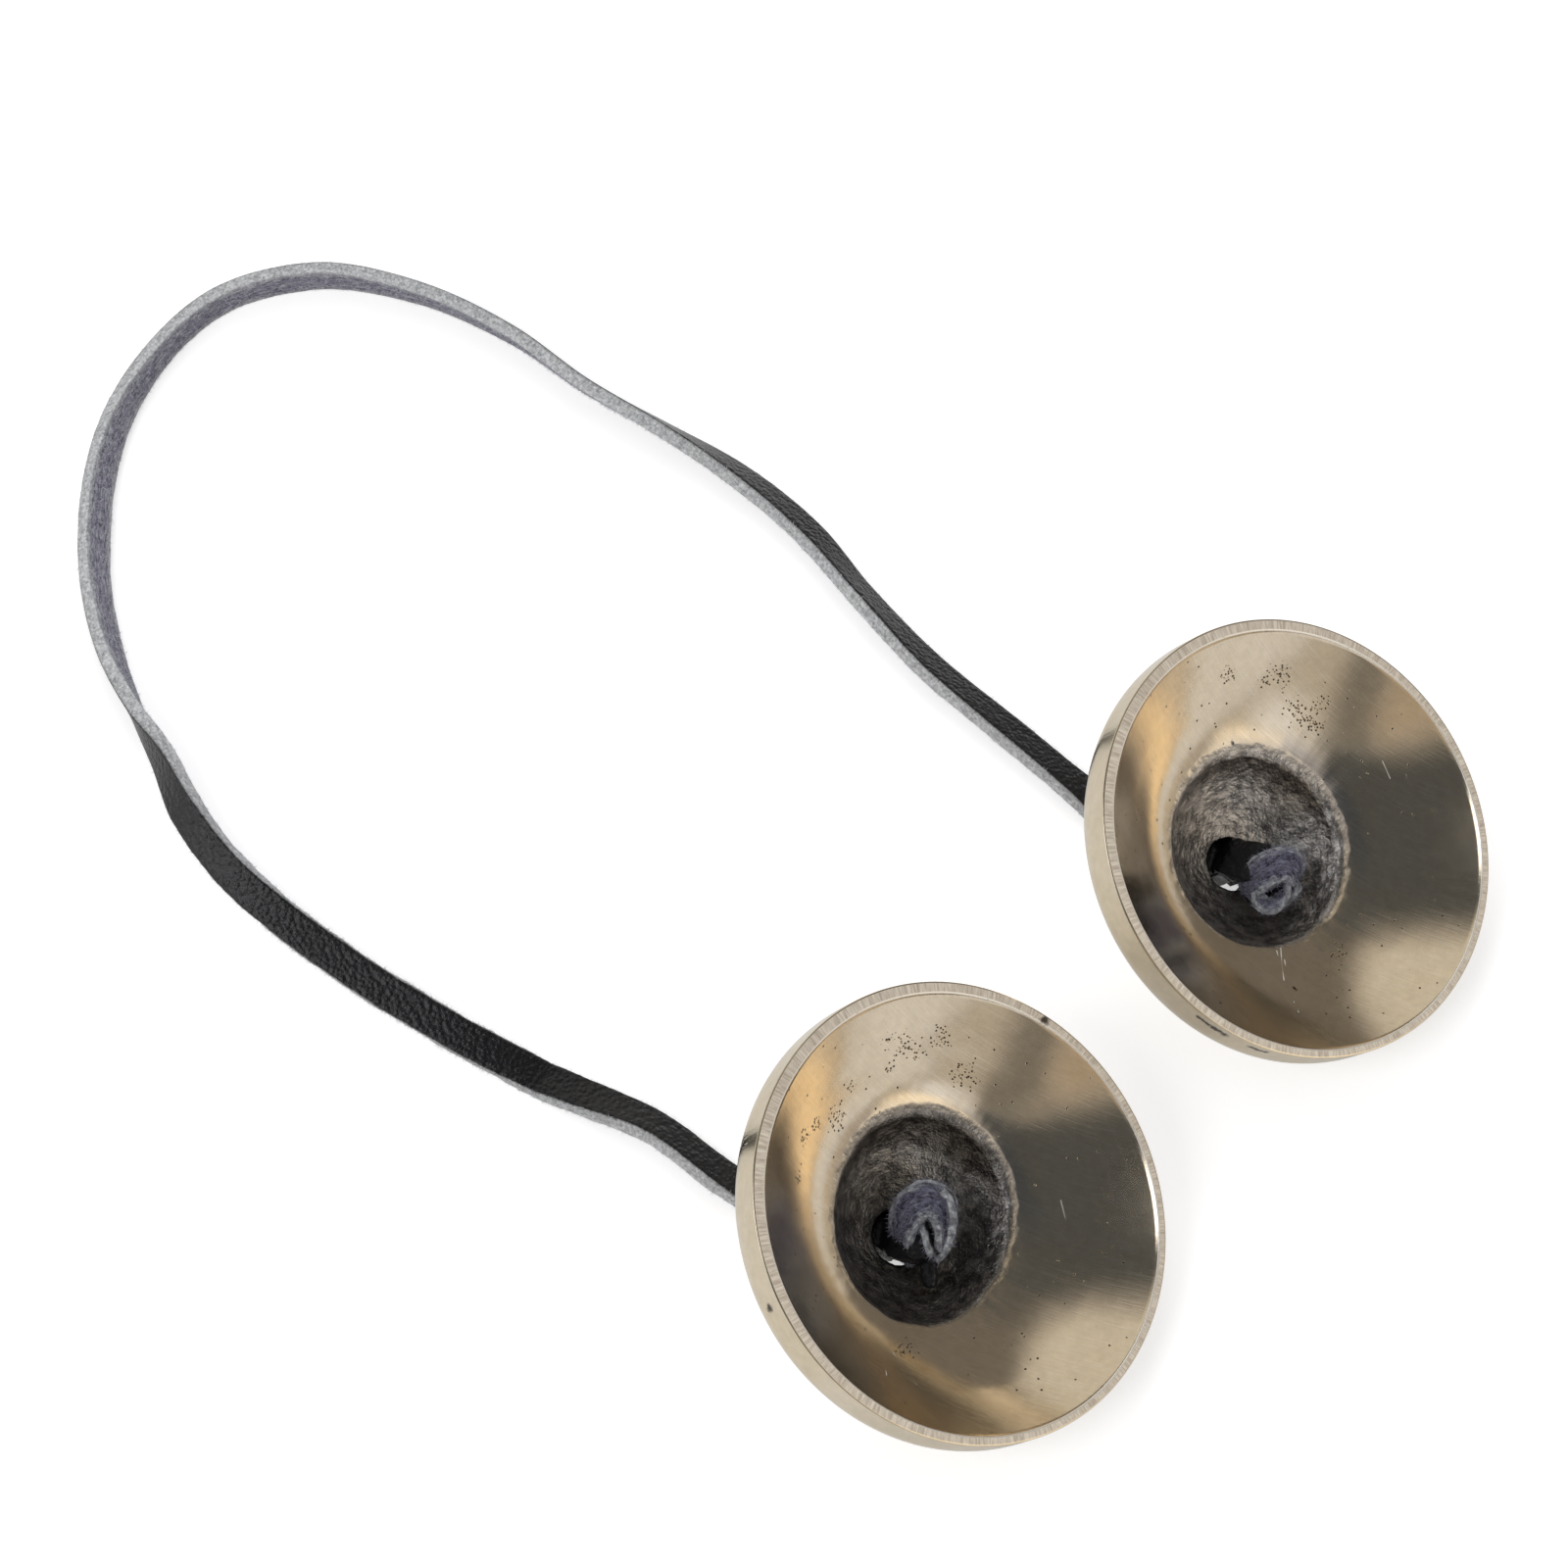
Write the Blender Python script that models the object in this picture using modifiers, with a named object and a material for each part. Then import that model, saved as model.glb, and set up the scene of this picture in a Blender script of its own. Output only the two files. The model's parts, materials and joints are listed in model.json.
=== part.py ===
# Tingsha: two cast bronze hand cymbals on one flat leather strap, lying on a table with their bowls up.
# Each cymbal hangs on the strap by a knot that sits in its boss, above the hole that the strap comes through.
# Metres, +Z up. The table is z = 0 and the origin is under the middle of the pair of cymbals.

import math

import bmesh
import bpy
import numpy as np
from mathutils import Euler, Matrix, Vector

# Cymbal, as a turned section
RIM_RADIUS = 0.0325
RIM_WIDTH = 0.0016
RIM_BREAK = 0.00025
SIDE_DEPTH = 0.0039
SHOULDER_RADIUS = 0.0066
SHOULDER_SWEEP = math.radians(76)
DISH_MOUTH_SLOPE = math.radians(12)
DISH_RIM_SLOPE = math.radians(43)
WALL = 0.0028
BOSS_RADIUS = 0.0186
BOSS_CENTRE_DEPTH = 0.0042
BOSS_FILLET = 0.0016
MOUTH_INSET = 0.0014
LIP_RADIUS = 0.0006
HOLE_RADIUS = 0.0039
HOLE_BREAK = 0.0003
TURN_STEPS = 48
SHOULDER_POINTS = 9
FILLET_POINTS = 4
BOSS_POINTS = 13
CAVITY_POINTS = 9
DISH_POINTS = 11

# Strap section, and the gaps that let its pieces move
STRAP_WIDTH = 0.0054
STRAP_THICKNESS = 0.0022
STRAP_EDGE_ROUND = 0.0003
FOLD_GAP = 0.0003
NECK_GAP = 0.0003
POINT_SPACING = 0.0056
NECK_POINTS = 4
SAMPLES_PER_POINT = 40

# Where the strap folds up into each cymbal: place of the fold, and the way that the cymbal leans
FOLD_LEFT = (-0.03459, -0.02577)
HEADING_LEFT = math.radians(-18.7)
FOLD_RIGHT = (0.01582, 0.03406)
HEADING_RIGHT = math.radians(-27.6)
LEAD = 0.009

# Knot: a lump on the cavity floor, set off from the hole on the side that the cymbal leans to
KNOT_SIZE = (0.0088, 0.0104, 0.0074)
LUMP_SEGMENTS = 24
LUMP_RINGS = 14
TURN_WIDTH = 0.0042
TURN_PROUD = 0.0006
KNOT_OUT_LEFT = 0.0046
KNOT_OUT_RIGHT = 0.0062
KNOT_DEPTH = 0.0136
TAIL_LENGTH = 0.0022
TAIL_TURN = math.radians(12)
TAIL_RISE = math.radians(28)
NECK_TOP_DEPTH = 0.0187
ENTRY_RISE = 0.001
ENTRY_BEND = 0.4

MERGE_DISTANCE = 0.00001

# Finishes: colour, metallic and roughness
BRONZE = ((0.62, 0.5, 0.36), 1.0, 0.28)
LEATHER = ((0.03, 0.029, 0.031), 0.0, 0.5)
SUEDE = ((0.2, 0.19, 0.24), 0.0, 0.85)

# Free strap on the table, from the left fold round the loop to the right one, in millimetres:
# x, y and lean in degrees. Lean 0 has the grain side up, lean 90 has it facing out of the loop.
ROUTE = (
    (-56.0, -16.8, -22),
    (-68.5, -7.4, -25),
    (-77.1, -3.4, -12),
    (-88.6, 2.4, 8),
    (-98.9, 8.4, 17),
    (-121.3, 24.3, 20),
    (-128.9, 31.0, 31),
    (-138.7, 43.8, 44),
    (-142.6, 52.1, 67),
    (-147.5, 60.7, 97),
    (-151.5, 69.3, 115),
    (-155.2, 82.5, 123),
    (-156.4, 96.0, 126),
    (-155.3, 109.7, 117),
    (-150.2, 123.8, 100),
    (-139.5, 136.7, 90),
    (-123.9, 141.5, 86),
    (-107.9, 138.2, 77),
    (-91.9, 129.6, 71),
    (-79.9, 119.8, 65),
    (-68.0, 111.9, 57),
    (-56.4, 103.8, 40),
    (-44.8, 92.7, 34),
    (-37.3, 82.2, 42),
    (-26.1, 68.5, 33),
    (-15.1, 58.0, 26),
    (-4.3, 47.7, 20),
)

CAVITY_RADIUS = BOSS_RADIUS - WALL
CAVITY_MOUTH_RADIUS = CAVITY_RADIUS - MOUTH_INSET
SHOULDER_CENTRE_RADIUS = RIM_RADIUS - SHOULDER_RADIUS


def rest_lean():
    """Lean at which the boss and the shoulder both touch the table."""
    run = SHOULDER_CENTRE_RADIUS
    drop = BOSS_CENTRE_DEPTH - SIDE_DEPTH
    rise = BOSS_RADIUS - SHOULDER_RADIUS
    return math.asin(rise / math.hypot(run, drop)) + math.atan2(drop, run)


LEAN = rest_lean()
RIM_HEIGHT = BOSS_RADIUS + BOSS_CENTRE_DEPTH * math.cos(LEAN)
FOLD_HEIGHT = STRAP_THICKNESS / 2
FOLD_DEPTH = (RIM_HEIGHT - FOLD_HEIGHT) / math.cos(LEAN)


def clear_scene():
    for obj in list(bpy.data.objects):
        bpy.data.objects.remove(obj, do_unlink=True)


def new_collection(name):
    collection = bpy.data.collections.new(name)
    bpy.context.scene.collection.children.link(collection)
    return collection


def new_material(name, colour, metallic, roughness):
    material = bpy.data.materials.new(name)
    material.use_nodes = True
    shader = material.node_tree.nodes["Principled BSDF"]
    shader.inputs["Base Color"].default_value = (*colour, 1)
    shader.inputs["Metallic"].default_value = metallic
    shader.inputs["Roughness"].default_value = roughness
    material.diffuse_color = (*colour, 1)
    return material


def hide_helper(obj):
    obj.hide_render = True
    obj.display_type = "WIRE"


def arc(centre, radius, start, end, count):
    """Points (radius from the axis, depth below the rim) round a centre. Angle 0 points away from the axis."""
    angles = np.linspace(start, end, count)
    return [(centre[0] + radius * math.cos(a), centre[1] + radius * math.sin(a)) for a in angles]


def dish_curve(start, end, first_radius, count):
    """The part beyond a radius of the cubic from start to end that has the dish's slopes at its ends."""
    run = end[0] - start[0]
    fall_start = -run * math.tan(DISH_MOUTH_SLOPE)
    fall_end = -run * math.tan(DISH_RIM_SLOPE)
    points = []
    for t in np.linspace((first_radius - start[0]) / run, 1.0, count):
        depth = (
            (2 * t**3 - 3 * t**2 + 1) * start[1]
            + (t**3 - 2 * t**2 + t) * fall_start
            + (3 * t**2 - 2 * t**3) * end[1]
            + (t**3 - t**2) * fall_end
        )
        points.append((start[0] + run * t, depth))
    return points


def section():
    """Closed section of a cymbal: down the outer side to the hole, then back up inside to the rim."""
    shoulder_centre = (SHOULDER_CENTRE_RADIUS, SIDE_DEPTH)
    boss_centre = (0.0, BOSS_CENTRE_DEPTH)
    # The underside leaves the shoulder straight, along its tangent, and meets the boss in a fillet
    shoulder = arc(shoulder_centre, SHOULDER_RADIUS, 0, SHOULDER_SWEEP, SHOULDER_POINTS)
    reach = BOSS_RADIUS + BOSS_FILLET
    off_underside = SHOULDER_CENTRE_RADIUS * math.cos(SHOULDER_SWEEP) + SHOULDER_RADIUS + BOSS_FILLET
    off_underside += (SIDE_DEPTH - BOSS_CENTRE_DEPTH) * math.sin(SHOULDER_SWEEP)
    boss_start = SHOULDER_SWEEP - math.acos(off_underside / reach)
    fillet_centre = (reach * math.cos(boss_start), BOSS_CENTRE_DEPTH + reach * math.sin(boss_start))
    fillet_start = SHOULDER_SWEEP + math.pi
    fillet = arc(fillet_centre, BOSS_FILLET, fillet_start, boss_start + math.pi, FILLET_POINTS)
    boss_end = math.acos((HOLE_RADIUS + HOLE_BREAK) / BOSS_RADIUS)
    boss = arc(boss_centre, BOSS_RADIUS, boss_start, boss_end, BOSS_POINTS)[1:]
    boss_foot = BOSS_CENTRE_DEPTH + math.sqrt(BOSS_RADIUS**2 - HOLE_RADIUS**2)
    outer = [
        (RIM_RADIUS - RIM_BREAK, 0.0),
        (RIM_RADIUS, RIM_BREAK),
        *shoulder,
        *fillet,
        *boss,
        (HOLE_RADIUS, boss_foot - HOLE_BREAK),
    ]
    mouth_depth = BOSS_CENTRE_DEPTH + math.sqrt(CAVITY_RADIUS**2 - CAVITY_MOUTH_RADIUS**2)
    cavity_foot = BOSS_CENTRE_DEPTH + math.sqrt(CAVITY_RADIUS**2 - HOLE_RADIUS**2)
    cavity_start = math.acos((HOLE_RADIUS + HOLE_BREAK) / CAVITY_RADIUS)
    cavity_end = math.asin((mouth_depth + LIP_RADIUS - BOSS_CENTRE_DEPTH) / CAVITY_RADIUS)
    cavity = arc(boss_centre, CAVITY_RADIUS, cavity_start, cavity_end, CAVITY_POINTS)
    mouth = (CAVITY_MOUTH_RADIUS, mouth_depth)
    rim_foot = (RIM_RADIUS - RIM_WIDTH, RIM_BREAK)
    dish = dish_curve(mouth, rim_foot, CAVITY_MOUTH_RADIUS + LIP_RADIUS, DISH_POINTS)
    # The lip's rounding bulges half way from its chord to the sharp corner that it replaces
    lip_middle = tuple(
        ((below + above) / 2 + corner) / 2
        for below, corner, above in zip(cavity[-1], mouth, dish[0])
    )
    inner = [
        (HOLE_RADIUS, cavity_foot + HOLE_BREAK),
        *cavity,
        lip_middle,
        *dish,
        (RIM_RADIUS - RIM_WIDTH + RIM_BREAK, 0.0),
    ]
    return outer + inner


def turned(name, collection, outline):
    """A closed section turned about the object's own Z axis."""
    mesh = bpy.data.meshes.new(name)
    shape = bmesh.new()
    corners = [shape.verts.new((radius, 0.0, -depth)) for radius, depth in outline]
    for first, second in zip(corners, corners[1:] + corners[:1]):
        shape.edges.new((first, second))
    shape.to_mesh(mesh)
    shape.free()
    obj = bpy.data.objects.new(name, mesh)
    collection.objects.link(obj)
    screw = obj.modifiers.new("Turn", "SCREW")
    screw.axis = "Z"
    screw.angle = math.tau
    screw.steps = TURN_STEPS
    screw.render_steps = TURN_STEPS
    screw.use_merge_vertices = True
    screw.merge_threshold = MERGE_DISTANCE
    screw.use_smooth_shade = True
    return obj


def strap_section(collection):
    """Guide for the strap's cross-section: a flat rectangle with broken corners."""
    guide = bpy.data.curves.new("strap_section", "CURVE")
    guide.dimensions = "2D"
    half_width = STRAP_WIDTH / 2
    half_thickness = STRAP_THICKNESS / 2
    in_width = half_width - STRAP_EDGE_ROUND
    in_thickness = half_thickness - STRAP_EDGE_ROUND
    corners = (
        (half_width, in_thickness),
        (in_width, half_thickness),
        (-in_width, half_thickness),
        (-half_width, in_thickness),
        (-half_width, -in_thickness),
        (-in_width, -half_thickness),
        (in_width, -half_thickness),
        (half_width, -in_thickness),
    )
    spline = guide.splines.new("POLY")
    spline.points.add(len(corners) - 1)
    for point, (across, through) in zip(spline.points, reversed(corners)):
        point.co = (across, through, 0, 1)
    spline.use_cyclic_u = True
    obj = bpy.data.objects.new("strap_section", guide)
    collection.objects.link(obj)
    hide_helper(obj)
    return obj


def smooth_curve(knots, spacing):
    """Evenly spaced points along a smooth curve through the given rows of numbers. x, y come first."""
    rows = np.array(knots, float)
    steps = np.linalg.norm(np.diff(rows[:, :2], axis=0), axis=1)
    along = np.concatenate([[0.0], np.cumsum(steps)])
    slopes = np.gradient(rows, along, axis=0)
    fine = np.linspace(0.0, along[-1], SAMPLES_PER_POINT * len(rows))
    piece = np.clip(np.searchsorted(along, fine, side="right") - 1, 0, len(rows) - 2)
    width = (along[piece + 1] - along[piece])[:, None]
    t = (fine[:, None] - along[piece][:, None]) / width
    dense = (
        (2 * t**3 - 3 * t**2 + 1) * rows[piece]
        + (t**3 - 2 * t**2 + t) * width * slopes[piece]
        + (3 * t**2 - 2 * t**3) * rows[piece + 1]
        + (t**3 - t**2) * width * slopes[piece + 1]
    )
    lengths = np.linalg.norm(np.diff(dense[:, :2], axis=0), axis=1)
    travelled = np.concatenate([[0.0], np.cumsum(lengths)])
    count = int(round(travelled[-1] / spacing)) + 1
    even = np.linspace(0.0, travelled[-1], count)
    return np.column_stack([np.interp(even, travelled, dense[:, k]) for k in range(rows.shape[1])])


def strap_piece(name, collection, guide, points, leans):
    """Flat strap swept along points. A positive lean lowers its edge on the left of the way it runs."""
    curve = bpy.data.curves.new(name, "CURVE")
    curve.dimensions = "3D"
    curve.twist_mode = "Z_UP"
    curve.bevel_mode = "OBJECT"
    curve.bevel_object = guide
    curve.use_fill_caps = True
    spline = curve.splines.new("POLY")
    spline.points.add(len(points) - 1)
    for point, place, lean in zip(spline.points, points, leans):
        point.co = (*place, 1)
        point.tilt = -lean
    obj = bpy.data.objects.new(name, curve)
    collection.objects.link(obj)
    return obj


def fold_frame(fold, heading):
    """Frame of a fold: origin on the fold line, X along the strap's heading, Y along the fold line."""
    return Matrix.Translation((*fold, FOLD_HEIGHT)) @ Matrix.Rotation(heading, 4, "Z")


def on_cymbal(out, depth):
    """Point in the fold's frame, from its distance off the cymbal's axis on the low side and its depth."""
    across = Vector((math.cos(LEAN), 0, -math.sin(LEAN)))
    axis = Vector((math.sin(LEAN), 0, math.cos(LEAN)))
    return across * out + axis * (FOLD_DEPTH - depth)


def free_strap(collection, guide):
    """The whole stretch between the two folds, lying on the table."""
    ends = []
    for fold, heading in ((FOLD_LEFT, HEADING_LEFT), (FOLD_RIGHT, HEADING_RIGHT)):
        back = Vector((math.cos(heading), math.sin(heading)))
        start = Vector(fold) - back * (STRAP_THICKNESS / 2 + FOLD_GAP)
        ends.append(((*start, 0.0), (*(Vector(fold) - back * LEAD), 0.0)))
    middle = [(x / 1000, y / 1000, math.radians(lean)) for x, y, lean in ROUTE]
    rows = smooth_curve([*ends[0], *middle, *reversed(ends[1])], POINT_SPACING)
    lift = STRAP_WIDTH / 2 * np.abs(np.sin(rows[:, 2])) + STRAP_THICKNESS / 2 * np.abs(np.cos(rows[:, 2]))
    points = [Vector((x, y, z)) for x, y, z in zip(rows[:, 0], rows[:, 1], lift)]
    return strap_piece("strap", collection, guide, points, rows[:, 2])


def neck(name, collection, guide, frame):
    """The stretch that goes up through the hole, from the fold to just inside the cavity."""
    depths = np.linspace(FOLD_DEPTH, NECK_TOP_DEPTH, NECK_POINTS)
    points = [on_cymbal(0.0, depth) for depth in depths]
    obj = strap_piece(name, collection, guide, points, [0.0] * len(points))
    obj.matrix_world = frame
    return obj


def as_mesh(obj, collection):
    """Turns a curve object into a closed mesh object with the same name."""
    bpy.context.view_layer.update()
    graph = bpy.context.evaluated_depsgraph_get()
    mesh = bpy.data.meshes.new_from_object(obj.evaluated_get(graph))
    shape = bmesh.new()
    shape.from_mesh(mesh)
    bmesh.ops.remove_doubles(shape, verts=shape.verts, dist=MERGE_DISTANCE)
    bmesh.ops.recalc_face_normals(shape, faces=shape.faces)
    shape.to_mesh(mesh)
    shape.free()
    name = obj.name
    made = bpy.data.objects.new(name, mesh)
    made.matrix_world = obj.matrix_world
    bpy.data.objects.remove(obj, do_unlink=True)
    made.name = name
    collection.objects.link(made)
    return made


def lump(name, collection, size, centre, turn):
    """A rounded lump of the given full sizes."""
    mesh = bpy.data.meshes.new(name)
    shape = bmesh.new()
    bmesh.ops.create_uvsphere(shape, u_segments=LUMP_SEGMENTS, v_segments=LUMP_RINGS, radius=0.5)
    bmesh.ops.scale(shape, vec=size, verts=shape.verts)
    bmesh.ops.rotate(shape, matrix=turn, verts=shape.verts)
    bmesh.ops.translate(shape, vec=centre, verts=shape.verts)
    shape.to_mesh(mesh)
    shape.free()
    mesh.shade_smooth()
    obj = bpy.data.objects.new(name, mesh)
    collection.objects.link(obj)
    return obj


def knot(name, collection, helpers, guide, frame, out):
    """The knot: a lump with one turn of strap over it, its tail, and the strap that enters it."""
    centre = on_cymbal(out, KNOT_DEPTH)
    level = Euler((0, LEAN, 0)).to_matrix()
    obj = lump(name, collection, KNOT_SIZE, centre, level)
    turn_size = (TURN_WIDTH, KNOT_SIZE[1] + TURN_PROUD * 2, KNOT_SIZE[2] + TURN_PROUD * 2)
    added = [lump(name + "_turn", helpers, turn_size, centre, level)]
    entry = [
        on_cymbal(0.0, NECK_TOP_DEPTH - NECK_GAP),
        on_cymbal(0.0, NECK_TOP_DEPTH - NECK_GAP - ENTRY_RISE),
        on_cymbal(out * ENTRY_BEND, KNOT_DEPTH + ENTRY_RISE),
        centre,
    ]
    added.append(as_mesh(strap_piece(name + "_entry", helpers, guide, entry, [0.0] * len(entry)), helpers))
    flat = math.cos(TAIL_RISE)
    aside = level @ Vector((math.sin(TAIL_TURN) * flat, -math.cos(TAIL_TURN) * flat, math.sin(TAIL_RISE)))
    tail = [centre + aside * TURN_PROUD, centre + aside * (KNOT_SIZE[1] / 2 + TAIL_LENGTH)]
    added.append(as_mesh(strap_piece(name + "_tail", helpers, guide, tail, [0.0] * len(tail)), helpers))
    for other in added:
        union = obj.modifiers.new("Join " + other.name, "BOOLEAN")
        union.operation = "UNION"
        union.object = other
        hide_helper(other)
    for each in [obj, *added]:
        each.matrix_world = frame
    return obj


def main():
    clear_scene()
    parts = new_collection("Tingsha")
    helpers = new_collection("Helpers")
    guide = strap_section(helpers)
    sides = (
        ("left", FOLD_LEFT, HEADING_LEFT, KNOT_OUT_LEFT),
        ("right", FOLD_RIGHT, HEADING_RIGHT, KNOT_OUT_RIGHT),
    )
    strap = free_strap(parts, guide)
    strap.data.materials.append(new_material("strap_leather", *LEATHER))
    for side, fold, heading, out in sides:
        frame = fold_frame(fold, heading)
        cymbal = turned("cymbal_" + side, parts, section())
        cymbal.matrix_world = frame @ Matrix.Translation(on_cymbal(0.0, 0.0)) @ Matrix.Rotation(LEAN, 4, "Y")
        cymbal.data.materials.append(new_material("bronze_" + side, *BRONZE))
        stretch = neck("neck_" + side, parts, guide, frame)
        stretch.data.materials.append(new_material("neck_leather_" + side, *LEATHER))
        tied = knot("knot_" + side, parts, helpers, guide, frame, out)
        tied.data.materials.append(new_material("knot_leather_" + side, *SUEDE))


main()
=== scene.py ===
import json
import math

import bmesh
import bpy
import numpy as np
from mathutils import Matrix, Vector, noise


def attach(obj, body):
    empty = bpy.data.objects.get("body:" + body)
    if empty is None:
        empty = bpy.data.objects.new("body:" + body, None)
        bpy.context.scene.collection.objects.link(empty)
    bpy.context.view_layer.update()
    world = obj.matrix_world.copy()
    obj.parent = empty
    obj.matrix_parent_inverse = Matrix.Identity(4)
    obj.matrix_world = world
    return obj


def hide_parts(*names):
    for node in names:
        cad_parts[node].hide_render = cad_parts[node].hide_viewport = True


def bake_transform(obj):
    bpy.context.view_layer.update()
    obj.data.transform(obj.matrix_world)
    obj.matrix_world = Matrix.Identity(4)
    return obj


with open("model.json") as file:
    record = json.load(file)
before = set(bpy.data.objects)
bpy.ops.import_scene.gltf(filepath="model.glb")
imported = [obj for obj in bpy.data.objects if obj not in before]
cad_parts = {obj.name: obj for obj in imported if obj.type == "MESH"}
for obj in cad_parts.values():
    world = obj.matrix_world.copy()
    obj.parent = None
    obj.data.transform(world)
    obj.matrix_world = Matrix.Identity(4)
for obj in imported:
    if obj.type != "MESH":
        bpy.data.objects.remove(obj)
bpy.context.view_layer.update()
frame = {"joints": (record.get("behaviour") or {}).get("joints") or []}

# A tingsha on a white table: two bronze cymbals with their bowls up, and one flat black strap.
# Lengths are metres, angles are degrees.

cameraSetup = {
    "focalLength": 94.5,  # millimetres, on a 36 mm sensor
    "sensor": 36.0,
    "target": (-0.04865, 0.04946, 0.0),
    "distance": 0.624,
    "elevation": 61.5,
}

floorSetup = {
    "size": 6.0,
    "drop": 0.0001,  # keeps the floor off the faces that lie on it
    "colour": (0.68, 0.68, 0.68),
    "glow": 0.55,  # seen by the camera and in reflections only
    "mirrored": 0.2,  # how much of the glow reflections get
}

lampSetup = (
    # name, place, aimed at, size, power, colour; seen in no reflection
    ("keyLamp", (-0.75, -0.55, 0.95), (0.0, 0.0, 0.0), 0.7, 6.0, (1.0, 0.99, 0.97)),
    ("fillLamp", (-0.2, 0.95, 0.75), (-0.03, 0.05, 0.0), 0.8, 4.8, (0.97, 0.98, 1.0)),
)

skySetup = {
    "soft": (0.56, 0.56, 0.57),  # what lights the dull surfaces
    # What the metal mirrors. Places in the sky are degrees away from straight up, towards +X and towards +Y
    "between": (0.50, 0.47, 0.43),
    "boxes": (
        # from x, to x, from y, to y, softness in x, softness in y, colour
        (5, 26, -95, -46, 7, 8, (0.20, 0.19, 0.175)),
        (18, 78, 14, 95, 5, 9, (0.17, 0.155, 0.14)),
        (-100, 15, 33, 95, 9, 6, (0.66, 0.635, 0.575)),
        (-100, 31, -46, 27, 6, 9, (0.080, 0.086, 0.092)),
        (-40, 5, -95, -50, 6, 7, (0.45, 0.38, 0.30)),
        (36, 64, -62, -32, 12, 8, (0.82, 0.84, 0.88)),
        (46, 75, -40, -7, 6, 6, (1.3, 1.17, 0.95)),
        (88, 125, -20, 45, 8, 12, (0.66, 0.53, 0.38)),
        (24, 60, 81, 104, 8, 4, (0.45, 0.44, 0.42)),
        (-76, -54, -34, 18, 5, 7, (1.2, 1.2, 1.24)),
        (-50, -35, -22, 6, 4, 6, (4.2, 4.2, 4.3)),
        (-120, -80, -34, 18, 8, 7, (0.75, 0.75, 0.75)),
    ),
}

cymbalShape = {
    "rimRadius": 0.0325,
    "rimWidth": 0.0016,
    "rimBreak": 0.00022,
    "innerBreak": 0.00025,
    "rimShift": 0.00035,  # how far the rim's inner edge is off centre, to the low side
    "bowlMouthSlope": 12.0,  # how steep the bowl is at its two ends
    "bowlRimSlope": 43.0,
    "sideDepth": 0.0039,
    "shoulderRadius": 0.0066,
    "shoulderSweep": 76.0,
    "wall": 0.0028,
    "bossRadius": 0.0186,
    "bossCentreDepth": 0.0042,
    "bossFillet": 0.0016,
    "mouthInset": 0.0014,
    "lipRadius": 0.0009,
    "castCreep": 0.0021,  # how far the cast skin can reach past the lip
    "holeRadius": 0.0039,
    "holeBreak": 0.0004,
    "stepsAround": 288,
    "castGrain": 0.00014,  # how rough the cavity is
    "castSize": 650.0,
    "wobble": 0.00003,  # how uneven the hand-finished bowl is
    "wobbleSize": 95.0,
    "mouthNoise": 0.0004,
    # the mouths are not round: moved along the fold and out, stretched along it, and another patch of noise
    "mouths": {"left": (0.00064, -0.0011, 0.00093, 0.0), "right": (-0.00025, -0.0008, 0.00015, 0.31)},
    "cavityPaintedLight": {"left": 0.85, "right": 1.35},  # painted light and shade: the same cast skin made lighter in the right cavity and darker in the left
}

# Marks in a cymbal's own frame, in millimetres: out to the low side, along the fold, up the axis, reach.
# Dashes and scratches run from one such place to another and have a reach.
cymbalMarks = {
    "left": {
        "pitted": ((-17.3, 19.3, -4.6, 1.6), (-14.4, 20.3, -5.4, 2.4), (-10.0, 23.7, -4.7, 2.5),
                   (-12.0, 20.6, -6.2, 1.5), (-3.7, 21.6, -7.4, 2.8), (-14.7, 17.0, -7.1, 1.4),
                   (-19.0, 11.8, -7.1, 1.1), (-19.1, 6.6, -8.5, 2.4), (-22.4, 3.8, -6.9, 1.5),
                   (-23.6, 1.1, -6.3, 1.6), (-22.3, -4.2, -7.0, 1.7), (2.3, -18.5, -9.2, 2.4)),
        "dents": ((2.2, 31.7, 0.0, 0.9), (-21.0, -24.8, -3.0, 0.8)),
        "dashes": (((-32.1, -4.6, -3.6), (-31.9, -6.0, -6.0), 0.7),),
        "scratches": (((-1.6, -17.9, -9.6), (-0.6, -24.6, -5.6), 0.1), ((0.5, -20.0, -8.6), (4.3, -23.6, -6.0), 0.1),
                      ((17.0, 12.0, -8.1), (18.6, 9.7, -8.0), 0.16)),
    },
    "right": {
        "pitted": ((-19.9, 16.5, -4.6, 1.6), (-12.7, 22.1, -4.9, 2.6), (-13.9, 20.1, -5.7, 1.6),
                   (-6.2, 20.8, -7.5, 3.0), (-3.6, 21.0, -7.8, 2.7), (-4.6, 23.3, -6.2, 1.9),
                   (-21.2, -9.6, -6.5, 1.3), (17.5, -6.7, -9.2, 2.0)),
        "dents": ((-12.1, 11.2, -10.1, 0.45), (13.4, -16.0, -8.1, 0.5)),
        "dashes": (((-0.3, -32.5, -1.4), (1.6, -32.46, -1.5), 0.62), ((2.3, -32.4, -1.4), (4.4, -32.2, -1.4), 0.62),
                   ((8.6, -31.3, -1.5), (11.2, -30.5, -1.4), 0.56)),
        "scratches": (((9.2, -11.6, -10.6), (13.7, -18.7, -6.6), 0.12), ((10.6, -12.0, -10.3), (14.5, -20.1, -5.5), 0.12),
                      ((9.6, -10.8, -10.7), (11.6, -15.7, -8.8), 0.12), ((18.6, 20.6, -3.1), (22.9, 16.5, -2.6), 0.1),
                      ((12.3, 22.2, -5.0), (14.1, 20.4, -5.4), 0.1), ((10.9, 20.8, -6.4), (8.5, 22.2, -6.2), 0.1)),
    },
}

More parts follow.
